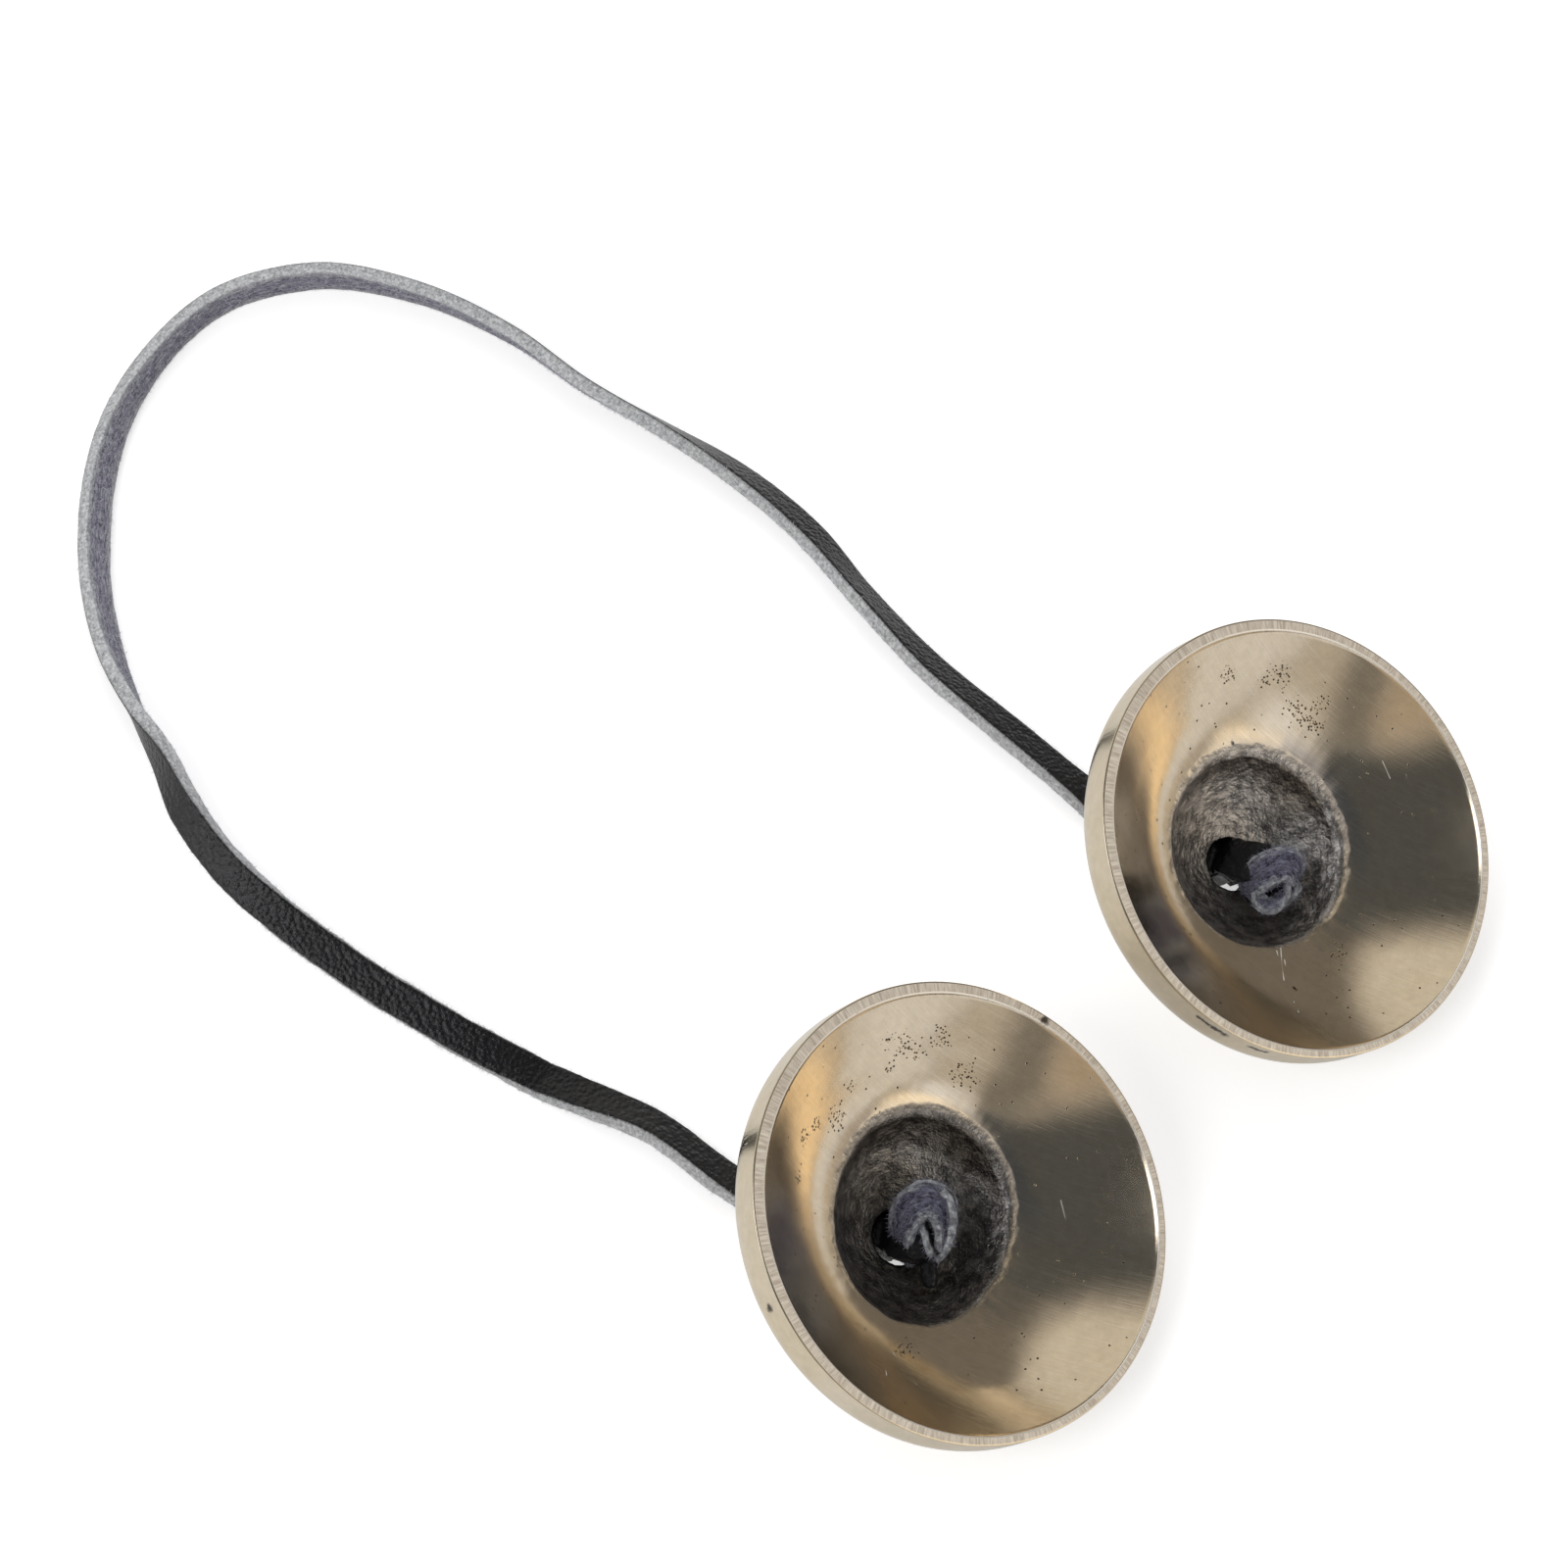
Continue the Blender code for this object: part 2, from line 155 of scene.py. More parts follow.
strapShape = {
    "width": 0.0054,
    "thickness": 0.0022,
    "cornerGrain": 0.0005,
    "cornerFlesh": 0.00018,
    "spacing": 0.0006,
    "edgeWobble": 0.00015,
    "lead": 0.009,  # straight stretch before each fold
    "foldRadius": 0.0042,
    "holeReach": 0.0046,  # from the fold to just over the cavity's floor
}

# The strap's route on the table, as in the frame: x, y and lean
strapRoute = (
    (-0.0560, -0.0168, -22),
    (-0.0685, -0.0074, -25),
    (-0.0771, -0.0034, -12),
    (-0.0886, 0.0024, 8),
    (-0.0989, 0.0084, 17),
    (-0.1213, 0.0243, 20),
    (-0.1289, 0.0310, 31),
    (-0.1387, 0.0438, 44),
    (-0.1426, 0.0521, 67),
    (-0.1475, 0.0607, 97),
    (-0.1515, 0.0693, 115),
    (-0.1552, 0.0825, 123),
    (-0.1564, 0.0960, 126),
    (-0.1553, 0.1097, 117),
    (-0.1502, 0.1238, 100),
    (-0.1395, 0.1367, 90),
    (-0.1239, 0.1415, 86),
    (-0.1079, 0.1382, 77),
    (-0.0919, 0.1296, 71),
    (-0.0799, 0.1198, 65),
    (-0.0680, 0.1119, 57),
    (-0.0564, 0.1038, 40),
    (-0.0448, 0.0927, 34),
    (-0.0373, 0.0822, 42),
    (-0.0261, 0.0685, 33),
    (-0.0151, 0.0580, 26),
    (-0.0043, 0.0477, 20),
)

knotShape = {
    # Each turn has a width, a thickness, how much its ends narrow, and rows in millimetres from the middle of the
    # cavity's floor, as seen from the front and 61.5 degrees up: right, up, towards the eye; then the way that
    # the strap's width lies there
    "seenFrom": 61.5,
    # painted shade: these turns lie in the cavity's shade and are painted black all round, with no suede or cut-edge
    # colour and no fibres
    "paintedShadeRuns": ("leg", "liningUp", "liningDown", "tail"),
    "lumps": (0.00020, 950.0),  # how far and how finely the leather is pushed about
    "left": {
        "leg": (6.9, 2.8, 0.0, (
            ((-0.9, 0.1, -2.1), (0.32, 0.83, -0.45)),
            ((0.2, 0.7, 0.2), (0.32, 0.83, -0.45)),
            ((1.1, 0.5, 2.2), (0.25, 0.88, -0.4)),
            ((2.2, 0.4, 3.6), (0.15, 0.92, -0.35)),
            ((4.0, 0.6, 4.0), (0.0, 0.95, -0.3)),
        )),
        "liningUp": (6.6, 2.4, 0.0, (
            ((-3.1, 1.0, -2.1), (0.32, 0.83, -0.45)),
            ((-2.1, 1.7, -0.5), (0.32, 0.83, -0.45)),
        )),
        "liningDown": (4.6, 1.8, 0.0, (
            ((0.6, -1.1, -2.1), (0.32, 0.83, -0.45)),
            ((1.5, -0.5, -0.5), (0.32, 0.83, -0.45)),
        )),
        "hood": (5.2, 1.5, 0.25, (
            ((1.2, -2.6, 1.0), (0.35, 0.0, 0.94)),
            ((0.8, -0.2, 3.0), (0.42, -0.1, 0.90)),
            ((1.2, 3.2, 4.4), (0.58, -0.62, 0.53)),
            ((2.8, 5.5, 4.9), (0.25, -0.90, 0.35)),
            ((4.6, 6.1, 4.9), (-0.02, -0.96, 0.28)),
            ((6.1, 5.0, 4.5), (-0.45, -0.78, 0.43)),
            ((6.7, 2.2, 3.9), (-0.5, -0.2, 0.84)),
            ((6.4, -1.2, 3.2), (-0.35, 0.0, 0.94)),
        )),
        "crescent": (4.2, 1.3, 0.75, (
            ((6.0, 7.4, 3.4), (-0.1, -0.1, -0.98)),
            ((7.0, 6.1, 4.0), (-0.2, -0.1, -0.97)),
            ((7.5, 3.8, 4.2), (-0.25, 0.0, -0.96)),
            ((7.3, 1.0, 3.9), (-0.2, 0.1, -0.97)),
            ((6.5, -1.2, 3.7), (-0.1, 0.3, -0.9)),
            ((5.5, -2.9, 3.6), (0.0, 0.4, -0.9)),
        )),
        "flap": (4.4, 1.2, 0.6, (
            ((3.9, 2.2, 3.0), (0.15, 0.1, -0.98)),
            ((4.3, 0.8, 3.8), (0.1, 0.1, -0.98)),
            ((4.8, -0.7, 4.3), (0.1, 0.2, -0.97)),
            ((5.4, -2.0, 4.4), (0.1, 0.3, -0.95)),
        )),
        "core": (4.4, 1.6, 0.2, (
            ((2.6, -2.4, 1.0), (0.0, 0.6, -0.8)),
            ((3.0, 1.0, 1.4), (0.1, 0.6, -0.8)),
            ((5.0, 3.2, 1.2), (0.1, 0.3, -0.9)),
            ((6.8, 1.2, 0.8), (0.1, 0.4, -0.9)),
            ((6.0, -1.6, 1.4), (0.3, 0.5, -0.8)),
        )),
        "tail": (2.3, 1.4, 0.35, (
            ((4.2, 0.4, 2.6), (0.9, 0.0, 0.4)),
            ((4.3, -2.0, 3.6), (0.9, 0.0, 0.4)),
            ((4.5, -4.3, 4.3), (0.9, 0.1, 0.4)),
            ((4.8, -6.3, 5.0), (0.9, 0.1, 0.4)),
        )),
    },
    "right": {
        "leg": (6.3, 2.8, 0.0, (
            ((-0.8, 0.6, -2.1), (0.46, 0.78, -0.42)),
            ((0.1, 1.0, 0.2), (0.46, 0.78, -0.42)),
            ((1.5, 0.6, 2.2), (0.35, 0.85, -0.4)),
            ((3.4, 0.3, 3.6), (0.2, 0.92, -0.3)),
            ((5.6, -0.6, 3.8), (0.0, 0.95, -0.3)),
            ((7.8, -1.6, 3.2), (0.0, 0.95, -0.3)),
        )),
        "liningUp": (6.6, 2.4, 0.0, (
            ((-2.9, 1.3, -2.1), (0.46, 0.78, -0.42)),
            ((-1.9, 1.9, -0.5), (0.46, 0.78, -0.42)),
        )),
        "liningDown": (4.6, 1.8, 0.0, (
            ((0.7, -1.0, -2.1), (0.46, 0.78, -0.42)),
            ((1.6, -0.5, -0.5), (0.46, 0.78, -0.42)),
        )),
        "hood": (5.4, 1.6, 0.25, (
            ((2.6, -4.4, 4.0), (0.5, -0.3, 0.8)),
            ((3.2, -2.2, 5.2), (0.35, -0.75, 0.56)),
            ((5.0, -0.6, 6.0), (0.25, -0.88, 0.4)),
            ((7.0, 0.1, 6.2), (0.05, -0.92, 0.38)),
            ((8.6, -0.2, 5.6), (-0.25, -0.88, 0.4)),
            ((9.2, -1.8, 4.4), (-0.5, -0.6, 0.6)),
        )),
        "turn": (3.4, 1.0, 0.3, (
            ((8.0, -2.4, 4.8), (-0.1, 0.3, -0.95)),
            ((7.5, -3.9, 5.6), (-0.1, 0.35, -0.93)),
            ((6.5, -5.3, 6.3), (-0.1, 0.5, -0.86)),
            ((5.1, -6.0, 6.6), (0.0, 0.6, -0.8)),
            ((3.9, -5.5, 6.3), (0.1, 0.5, -0.86)),
            ((3.2, -4.1, 5.6), (0.1, 0.4, -0.9)),
        )),
        "core": (4.6, 1.6, 0.2, (
            ((3.6, -1.6, 2.4), (0.0, 0.7, -0.7)),
            ((5.2, -3.6, 3.0), (0.3, 0.7, -0.7)),
            ((7.4, -4.0, 3.4), (0.2, 0.7, -0.7)),
            ((8.4, -2.8, 3.0), (0.0, 0.7, -0.7)),
            ((8.2, -1.0, 2.4), (-0.2, 0.7, -0.7)),
        )),
        "side": (4.4, 1.4, 0.4, (
            ((2.4, -0.9, 2.4), (0.3, -0.6, 0.7)),
            ((2.9, -2.6, 3.4), (0.4, -0.6, 0.7)),
            ((3.6, -4.4, 4.2), (0.5, -0.5, 0.7)),
            ((4.6, -5.6, 4.8), (0.5, -0.4, 0.7)),
        )),
    },
}

fibreSetup = {
    # per square metre, length, thickness, how far they lie over, seed
    "strap": (3400000.0, 0.00060, 0.00004, 1.2, 7),
    "knot": (7000000.0, 0.00075, 0.000045, 1.1, 11),
    # painted shade: the knot's fibres are a darker copy of the strap's, for the cavity they lie in
    "colours": {"strap": (0.60, 0.60, 0.65), "knot": (0.24, 0.24, 0.30)},
}


# Small helpers

def addNode(tree, kind, inputs=None, **settings):
    made = tree.nodes.new(kind)
    for key, value in settings.items():
        setattr(made, key, value)
    for key, value in (inputs or {}).items():
        if isinstance(value, bpy.types.NodeSocket):
            tree.links.new(value, made.inputs[key])
        else:
            made.inputs[key].default_value = value
    return made


def calc(tree, operation, first, second=0.0, third=0.0):
    return addNode(tree, "ShaderNodeMath", {0: first, 1: second, 2: third}, operation=operation).outputs[0]


def mapRange(tree, value, low, high, newLow=0.0, newHigh=1.0):
    made = addNode(tree, "ShaderNodeMapRange", {"Value": value, "From Min": low, "From Max": high,
                                                "To Min": newLow, "To Max": newHigh})
    made.clamp = True
    return made.outputs["Result"]


def easeRange(tree, value, low, high):
    made = addNode(tree, "ShaderNodeMapRange", {"Value": value, "From Min": low, "From Max": high})
    made.interpolation_type = "SMOOTHSTEP"
    return made.outputs["Result"]


def mixColour(tree, factor, first, second, blend="MIX"):
    made = addNode(tree, "ShaderNodeMix", {"Factor": factor}, data_type="RGBA", blend_type=blend)
    for socket, value in zip((made.inputs[6], made.inputs[7]), (first, second)):
        if isinstance(value, bpy.types.NodeSocket):
            tree.links.new(value, socket)
        else:
            socket.default_value = (*value, 1.0) if len(value) == 3 else value
    return made.outputs[2]


def noiseAt(tree, vector, scale, detail=2.0, roughness=0.5, output="Fac"):
    made = addNode(tree, "ShaderNodeTexNoise", {"Vector": vector, "Scale": scale, "Detail": detail,
                                                "Roughness": roughness})
    return made.outputs[output]


def newMaterial(name):
    material = bpy.data.materials.new(name)
    material.use_nodes = True
    tree = material.node_tree
    return material, tree, tree.nodes["Principled BSDF"]


def jointNamed(name):
    return next(joint for joint in frame["joints"] if joint["name"] == name)


def cymbalPlace(side):
    """Place of a cymbal: origin at the middle of the rim, Z up its axis, X to the side that it leans to."""
    spin = jointNamed("spin_" + side)
    up = Vector(spin["axis"]).normalized()
    along = Vector(jointNamed("tilt_" + side)["axis"]).normalized()
    out = along.cross(up).normalized()
    along = up.cross(out)
    place = Matrix((out, along, up)).transposed().to_4x4()
    place.translation = Vector(spin["pos_m"])
    return place


# Strap

def smoothCurve(rows, spacing):
    """Evenly spaced rows along a smooth curve through the given rows, which start with x, y."""
    rows = np.array(rows, float)
    along = np.concatenate([[0.0], np.cumsum(np.linalg.norm(np.diff(rows[:, :2], axis=0), axis=1))])
    slopes = np.gradient(rows, along, axis=0)
    fine = np.linspace(0.0, along[-1], 40 * len(rows))
    piece = np.clip(np.searchsorted(along, fine, side="right") - 1, 0, len(rows) - 2)
    width = (along[piece + 1] - along[piece])[:, None]
    t = (fine[:, None] - along[piece][:, None]) / width
    dense = ((2 * t**3 - 3 * t**2 + 1) * rows[piece] + (t**3 - 2 * t**2 + t) * width * slopes[piece]
             + (3 * t**2 - 2 * t**3) * rows[piece + 1] + (t**3 - t**2) * width * slopes[piece + 1])
    travelled = np.concatenate([[0.0], np.cumsum(np.linalg.norm(np.diff(dense[:, :2], axis=0), axis=1))])
    even = np.linspace(0.0, travelled[-1], int(round(travelled[-1] / spacing)) + 1)
    return np.column_stack([np.interp(even, travelled, dense[:, k]) for k in range(rows.shape[1])])


def smoothPath(points, count):
    """Evenly spaced points along a smooth curve through a few points in space."""
    points = np.array(points, float)
    along = np.concatenate([[0.0], np.cumsum(np.linalg.norm(np.diff(points[:, :3], axis=0), axis=1))])
    slopes = np.gradient(points, along, axis=0)
    fine = np.linspace(0.0, along[-1], 600)
    piece = np.clip(np.searchsorted(along, fine, side="right") - 1, 0, len(points) - 2)
    width = (along[piece + 1] - along[piece])[:, None]
    t = (fine[:, None] - along[piece][:, None]) / width
    dense = ((2 * t**3 - 3 * t**2 + 1) * points[piece] + (t**3 - 2 * t**2 + t) * width * slopes[piece]
             + (3 * t**2 - 2 * t**3) * points[piece + 1] + (t**3 - t**2) * width * slopes[piece + 1])
    travelled = np.concatenate([[0.0], np.cumsum(np.linalg.norm(np.diff(dense[:, :3], axis=0), axis=1))])
    even = np.linspace(0.0, travelled[-1], count)
    return np.column_stack([np.interp(even, travelled, dense[:, k]) for k in range(points.shape[1])])


def strapOutline(width, thickness):
    """Points (across, through, edge share, flesh share) round the strap. The grain side is at +through."""
    half, thick = width / 2, thickness / 2
    grainCorner, fleshCorner = strapShape["cornerGrain"], strapShape["cornerFlesh"]
    points = []
    for s in np.linspace(-1, 1, 11):
        points.append((s * (half - grainCorner), thick, 0.0, 0.0))
    for angle in (60, 30):
        bend = math.radians(angle)
        points.append((half - grainCorner + grainCorner * math.cos(bend),
                       thick - grainCorner + grainCorner * math.sin(bend), 0.35 if angle > 45 else 0.8, 0.0))
    for s in (0.45, 0.05, -0.4, -0.8):
        points.append((half, s * thick, 1.0, 0.3 - 0.3 * s))
    points.append((half - fleshCorner * 0.3, -thick + fleshCorner * 0.3, 1.0, 0.8))
    for s in np.linspace(1, -1, 15):
        inward = (1 - abs(s)) * half
        points.append((s * (half - fleshCorner), -thick, 0.75 * max(0.0, 1 - inward / 0.0016), 1.0))
    points.append((-half + fleshCorner * 0.3, -thick + fleshCorner * 0.3, 1.0, 0.8))
    for s in (-0.8, -0.4, 0.05, 0.45):
        points.append((-half, s * thick, 1.0, 0.3 - 0.3 * s))
    for angle in (30, 60):
        bend = math.radians(angle)
        points.append((-half + grainCorner - grainCorner * math.cos(bend),
                       thick - grainCorner + grainCorner * math.sin(bend), 0.35 if angle > 45 else 0.8, 0.0))
    return points


def waver(along, seed):
    """A slow, repeatable waver between about -1 and 1."""
    return (math.sin(along * 410 + seed) + 0.7 * math.sin(along * 967 + seed * 2.3)
            + 0.5 * math.sin(along * 2111 + seed * 3.7) + 0.5 * math.sin(along * 4709 + seed * 5.9)) / 2.4


def sweptStrap(runs):
    # Closed strap pieces swept along (centres, ways across, widths, thickness, painted black all round); pieces painted
    # black all round get no suede or cut-edge colour, as painted shade
    vertices, faces, spaces, edges, fleshes = [], [], [], [], []
    for centres, acrosses, widths, thickness, paintedBlack in runs:
        count = len(strapOutline(widths[0], thickness))
        first = len(vertices)
        tangents = np.gradient(centres, axis=0)
        travelled = 0.0
        for k, (centre, across, tangent) in enumerate(zip(centres, acrosses, tangents)):
            if k:
                travelled += float(np.linalg.norm(centres[k] - centres[k - 1]))
            tangent = tangent / np.linalg.norm(tangent)
            across = across - tangent * float(across @ tangent)
            across = across / np.linalg.norm(across)
            through = np.cross(tangent, across)
            for a, b, edge, flesh in strapOutline(widths[k], thickness):
                side = 1.0 if a > 0 else -1.0
                shift = strapShape["edgeWobble"] * waver(travelled, side * 2 + b * 700) * edge
                point = centre + across * (a + side * shift) + through * b
                point[2] = max(point[2], 0.0)
                vertices.append(point)
                spaces.append((travelled, a, b))
                edges.append(0.0 if paintedBlack else edge)
                fleshes.append(0.0 if paintedBlack else flesh)
        rings = len(centres)
        for ring in range(rings - 1):
            for k in range(count):
                low = first + ring * count
                following = (k + 1) % count
                faces.append((low + k, low + following, low + count + following, low + count + k))
        faces.append(tuple(first + k for k in reversed(range(count))))
        faces.append(tuple(first + (rings - 1) * count + k for k in range(count)))
    return vertices, faces, spaces, edges, fleshes


def strapObject(name, runs, material, lumps=(0.0, 1.0)):
    vertices, faces, spaces, edges, fleshes = sweptStrap(runs)
    push, fineness = lumps
    if push:
        vertices = [Vector(v) + push * noise.noise_vector(Vector(v) * fineness) for v in vertices]
    mesh = bpy.data.meshes.new(name)
    mesh.from_pydata([tuple(v) for v in vertices], [], faces)
    mesh.attributes.new("strapSpace", "FLOAT_VECTOR", "POINT").data.foreach_set(
        "vector", np.array(spaces, np.float32).ravel())
    mesh.attributes.new("cutEdge", "FLOAT", "POINT").data.foreach_set("value", np.array(edges, np.float32))
    mesh.attributes.new("flesh", "FLOAT", "POINT").data.foreach_set("value", np.array(fleshes, np.float32))
    mesh.materials.append(material)
    mesh.shade_smooth()
    obj = bpy.data.objects.new(name, mesh)
    bpy.context.scene.collection.objects.link(obj)
    bm = bmesh.new()
    bm.from_mesh(mesh)
    if bm.calc_volume(signed=True) < 0:
        bmesh.ops.reverse_faces(bm, faces=bm.faces)
        bm.to_mesh(mesh)
    bm.free()
    return obj


def foldPlace(side):
    """Place of a fold: origin on the fold line, X along the strap's heading, Y along the fold line, Z up."""
    tilt = jointNamed("tilt_" + side)
    along = Vector(tilt["axis"]).normalized()
    heading = along.cross(Vector((0, 0, 1))).normalized()
    place = Matrix((heading, along, Vector((0, 0, 1)))).transposed().to_4x4()
    place.translation = Vector(tilt["pos_m"])
    return place


def freeStrap(material):
    """The stretch on the table, from the lead before one fold to the lead before the other."""
    ends = []
    for side in ("left", "right"):
        place = foldPlace(side)
        near = place @ Vector((-strapShape["lead"], 0, 0))
        beyond = place @ Vector((-strapShape["lead"] * 1.5, 0, 0))
        ends.append(((near.x, near.y, 0.0), (beyond.x, beyond.y, 0.0)))
    middle = [(x, y, math.radians(lean)) for x, y, lean in strapRoute]
    rows = smoothCurve([*ends[0], *middle, *reversed(ends[1])], strapShape["spacing"])
    half, thick = strapShape["width"] / 2, strapShape["thickness"] / 2
    lift = half * np.abs(np.sin(rows[:, 2])) + thick * np.abs(np.cos(rows[:, 2]))
    centres = np.column_stack([rows[:, 0], rows[:, 1], lift])
    flat = np.gradient(rows[:, :2], axis=0)
    flat /= np.linalg.norm(flat, axis=1)[:, None]
    left = np.column_stack([-flat[:, 1], flat[:, 0], np.zeros(len(flat))])
    lean = rows[:, 2][:, None]
    acrosses = np.cos(lean) * left - np.sin(lean) * np.array([0, 0, 1.0])
    run = (centres, acrosses, [strapShape["width"]] * len(centres), strapShape["thickness"], False)
    return strapObject("strap_on_table", [run], material), centres


def foldStrap(side, material):
    """The strap's lead, its bend under the boss and the stretch up through the hole."""
    place = foldPlace(side)
    up = (place.to_3x3().inverted() @ Vector(jointNamed("spin_" + side)["axis"])).normalized()
    turn = math.atan2(up.z, up.x)
    radius = strapShape["foldRadius"]
    tangent = radius * math.tan(turn / 2)
    centres = [(x, 0.0, 0.0) for x in np.linspace(-strapShape["lead"], -tangent, 8)]
    for angle in np.linspace(0, turn, 14)[1:]:
        centres.append((-tangent + radius * math.sin(angle), 0.0, radius * (1 - math.cos(angle))))
    for reach in np.linspace(tangent, strapShape["holeReach"], 12)[1:]:
        centres.append((up.x * reach, 0.0, up.z * reach))
    centres = np.array([tuple(place @ Vector(c)) for c in centres])
    along = np.array(tuple(place.to_3x3() @ Vector((0, 1, 0))))
    run = (centres, np.array([along] * len(centres)), [strapShape["width"]] * len(centres),
           strapShape["thickness"], False)
    return strapObject("strap_fold_" + side, [run], material)


def knotPlace(side):
    """Place of a knot's rows: origin in the middle of the cavity's floor, Z towards the photo's eye."""
    rise = math.radians(knotShape["seenFrom"])
    toward = Vector((0, -math.cos(rise), math.sin(rise)))
    right = Vector((1, 0, 0))
    place = Matrix((right, toward.cross(right), toward)).transposed().to_4x4()
    floorDepth = cymbalShape["bossCentreDepth"] + cymbalShape["bossRadius"] - cymbalShape["wall"]
    place.translation = cymbalPlace(side) @ Vector((0, 0, -floorDepth))
    return place


def knot(side, material):
    """The knot in a cavity: the strap's turns, each swept along its own given path."""
    place = knotPlace(side)
    runs = []
    for name, (width, thickness, narrowing, turn) in knotShape[side].items():
        rows = smoothPath([(*at, *lie) for at, lie in turn], 60)
        spots = [place @ (Vector(row) / 1000) for row in rows[:, :3]]
        lies = [place.to_3x3() @ Vector(lie) for lie in rows[:, 3:]]
        widths = width / 1000 * (1 - narrowing * np.linspace(-1.0, 1.0, len(rows)) ** 4)
        runs.append((np.array([tuple(v) for v in spots]), np.array([tuple(v) for v in lies]), widths,
                     thickness / 1000, name in knotShape["paintedShadeRuns"]))
    return strapObject("strap_knot_" + side, runs, material, knotShape["lumps"])


def napTree():
    """Short fibres over the suede side and the cut edges of a strap."""
    tree = bpy.data.node_groups.new("strapNap", "GeometryNodeTree")
    for name, kind in (("Strap", "Geometry"), ("Per square metre", "Float"), ("Length", "Float"),
                       ("Thickness", "Float"), ("Lie", "Float"), ("Seed", "Int"), ("Material", "Material")):
        tree.interface.new_socket(name, in_out="INPUT", socket_type="NodeSocket" + kind)
    tree.interface.new_socket("Nap", in_out="OUTPUT", socket_type="NodeSocketGeometry")
    given = addNode(tree, "NodeGroupInput").outputs
    shares = [addNode(tree, "GeometryNodeInputNamedAttribute", {"Name": name}, data_type="FLOAT").outputs["Attribute"]
              for name in ("flesh", "cutEdge")]
    hairy = calc(tree, "GREATER_THAN", calc(tree, "MAXIMUM", *shares), 0.6)
    spread = addNode(tree, "GeometryNodeDistributePointsOnFaces", {
        "Mesh": given["Strap"], "Density": calc(tree, "MULTIPLY", hairy, given["Per square metre"]),
        "Seed": given["Seed"]})
    fibre = addNode(tree, "GeometryNodeMeshCone", {
        "Vertices": 3, "Radius Top": 0.0, "Radius Bottom": given["Thickness"], "Depth": given["Length"]},
        fill_type="NONE")
    low = addNode(tree, "ShaderNodeCombineXYZ", {0: calc(tree, "MULTIPLY", given["Lie"], -1), 1: calc(
        tree, "MULTIPLY", given["Lie"], -1), 2: -math.pi})
    high = addNode(tree, "ShaderNodeCombineXYZ", {0: given["Lie"], 1: given["Lie"], 2: math.pi})
    bend = addNode(tree, "FunctionNodeRandomValue", {0: low.outputs[0], 1: high.outputs[0], "Seed": given["Seed"]},
                   data_type="FLOAT_VECTOR")
    turn = addNode(tree, "FunctionNodeRotateRotation", {0: spread.outputs["Rotation"], 1: bend.outputs[0]},
                   rotation_space="LOCAL")
    size = addNode(tree, "FunctionNodeRandomValue", {2: 0.4, 3: 1.3, "Seed": given["Seed"]}, data_type="FLOAT")
    flow = addNode(tree, "GeometryNodeInstanceOnPoints", {
        "Points": spread.outputs["Points"], "Instance": fibre.outputs["Mesh"], "Rotation": turn.outputs[0],
        "Scale": size.outputs[1]}).outputs[0]
    flow = addNode(tree, "GeometryNodeRealizeInstances", {"Geometry": flow}).outputs[0]
    flow = addNode(tree, "GeometryNodeSetMaterial", {"Geometry": flow, "Material": given["Material"]}).outputs[0]
    addNode(tree, "NodeGroupOutput", {"Nap": flow})
    return tree


def nap(strapPiece, name, tree, material, setup):
    """The fibres on a piece of strap, as one mesh."""
    source = bpy.data.objects.new(name + "_source", strapPiece.data)
    bpy.context.scene.collection.objects.link(source)
    modifier = source.modifiers.new("Nap", "NODES")
    modifier.node_group = tree
    setInputs(modifier, dict(zip(("Per square metre", "Length", "Thickness", "Lie", "Seed"), setup), Material=material))
    return plainMesh(source, name)


# Cymbals

def arcPoints(centre, radius, start, end, count):
    angles = np.linspace(start, end, count)
    return [(centre[0] + radius * math.cos(a), centre[1] + radius * math.sin(a)) for a in angles]


def lineOf(first, last, count):
    return [tuple(p) for p in np.linspace(first, last, count)]


def bentCorner(first, corner, last, count):
    return [tuple((1 - t) ** 2 * np.array(first) + 2 * t * (1 - t) * np.array(corner) + t * t * np.array(last))
            for t in np.linspace(0, 1, count)]


def bowlCurve(start, end, firstRadius, count):
    # A cubic from the mouth to the rim with a given slope at each end, from some radius on
    run = end[0] - start[0]
    falls = [-run * math.tan(math.radians(cymbalShape[key])) for key in ("bowlMouthSlope", "bowlRimSlope")]
    t = np.linspace((firstRadius - start[0]) / run, 1.0, count)
    depths = ((2 * t**3 - 3 * t**2 + 1) * start[1] + (t**3 - 2 * t**2 + t) * falls[0]
              + (3 * t**2 - 2 * t**3) * end[1] + (t**3 - t**2) * falls[1])
    return list(zip(start[0] + run * t, depths))


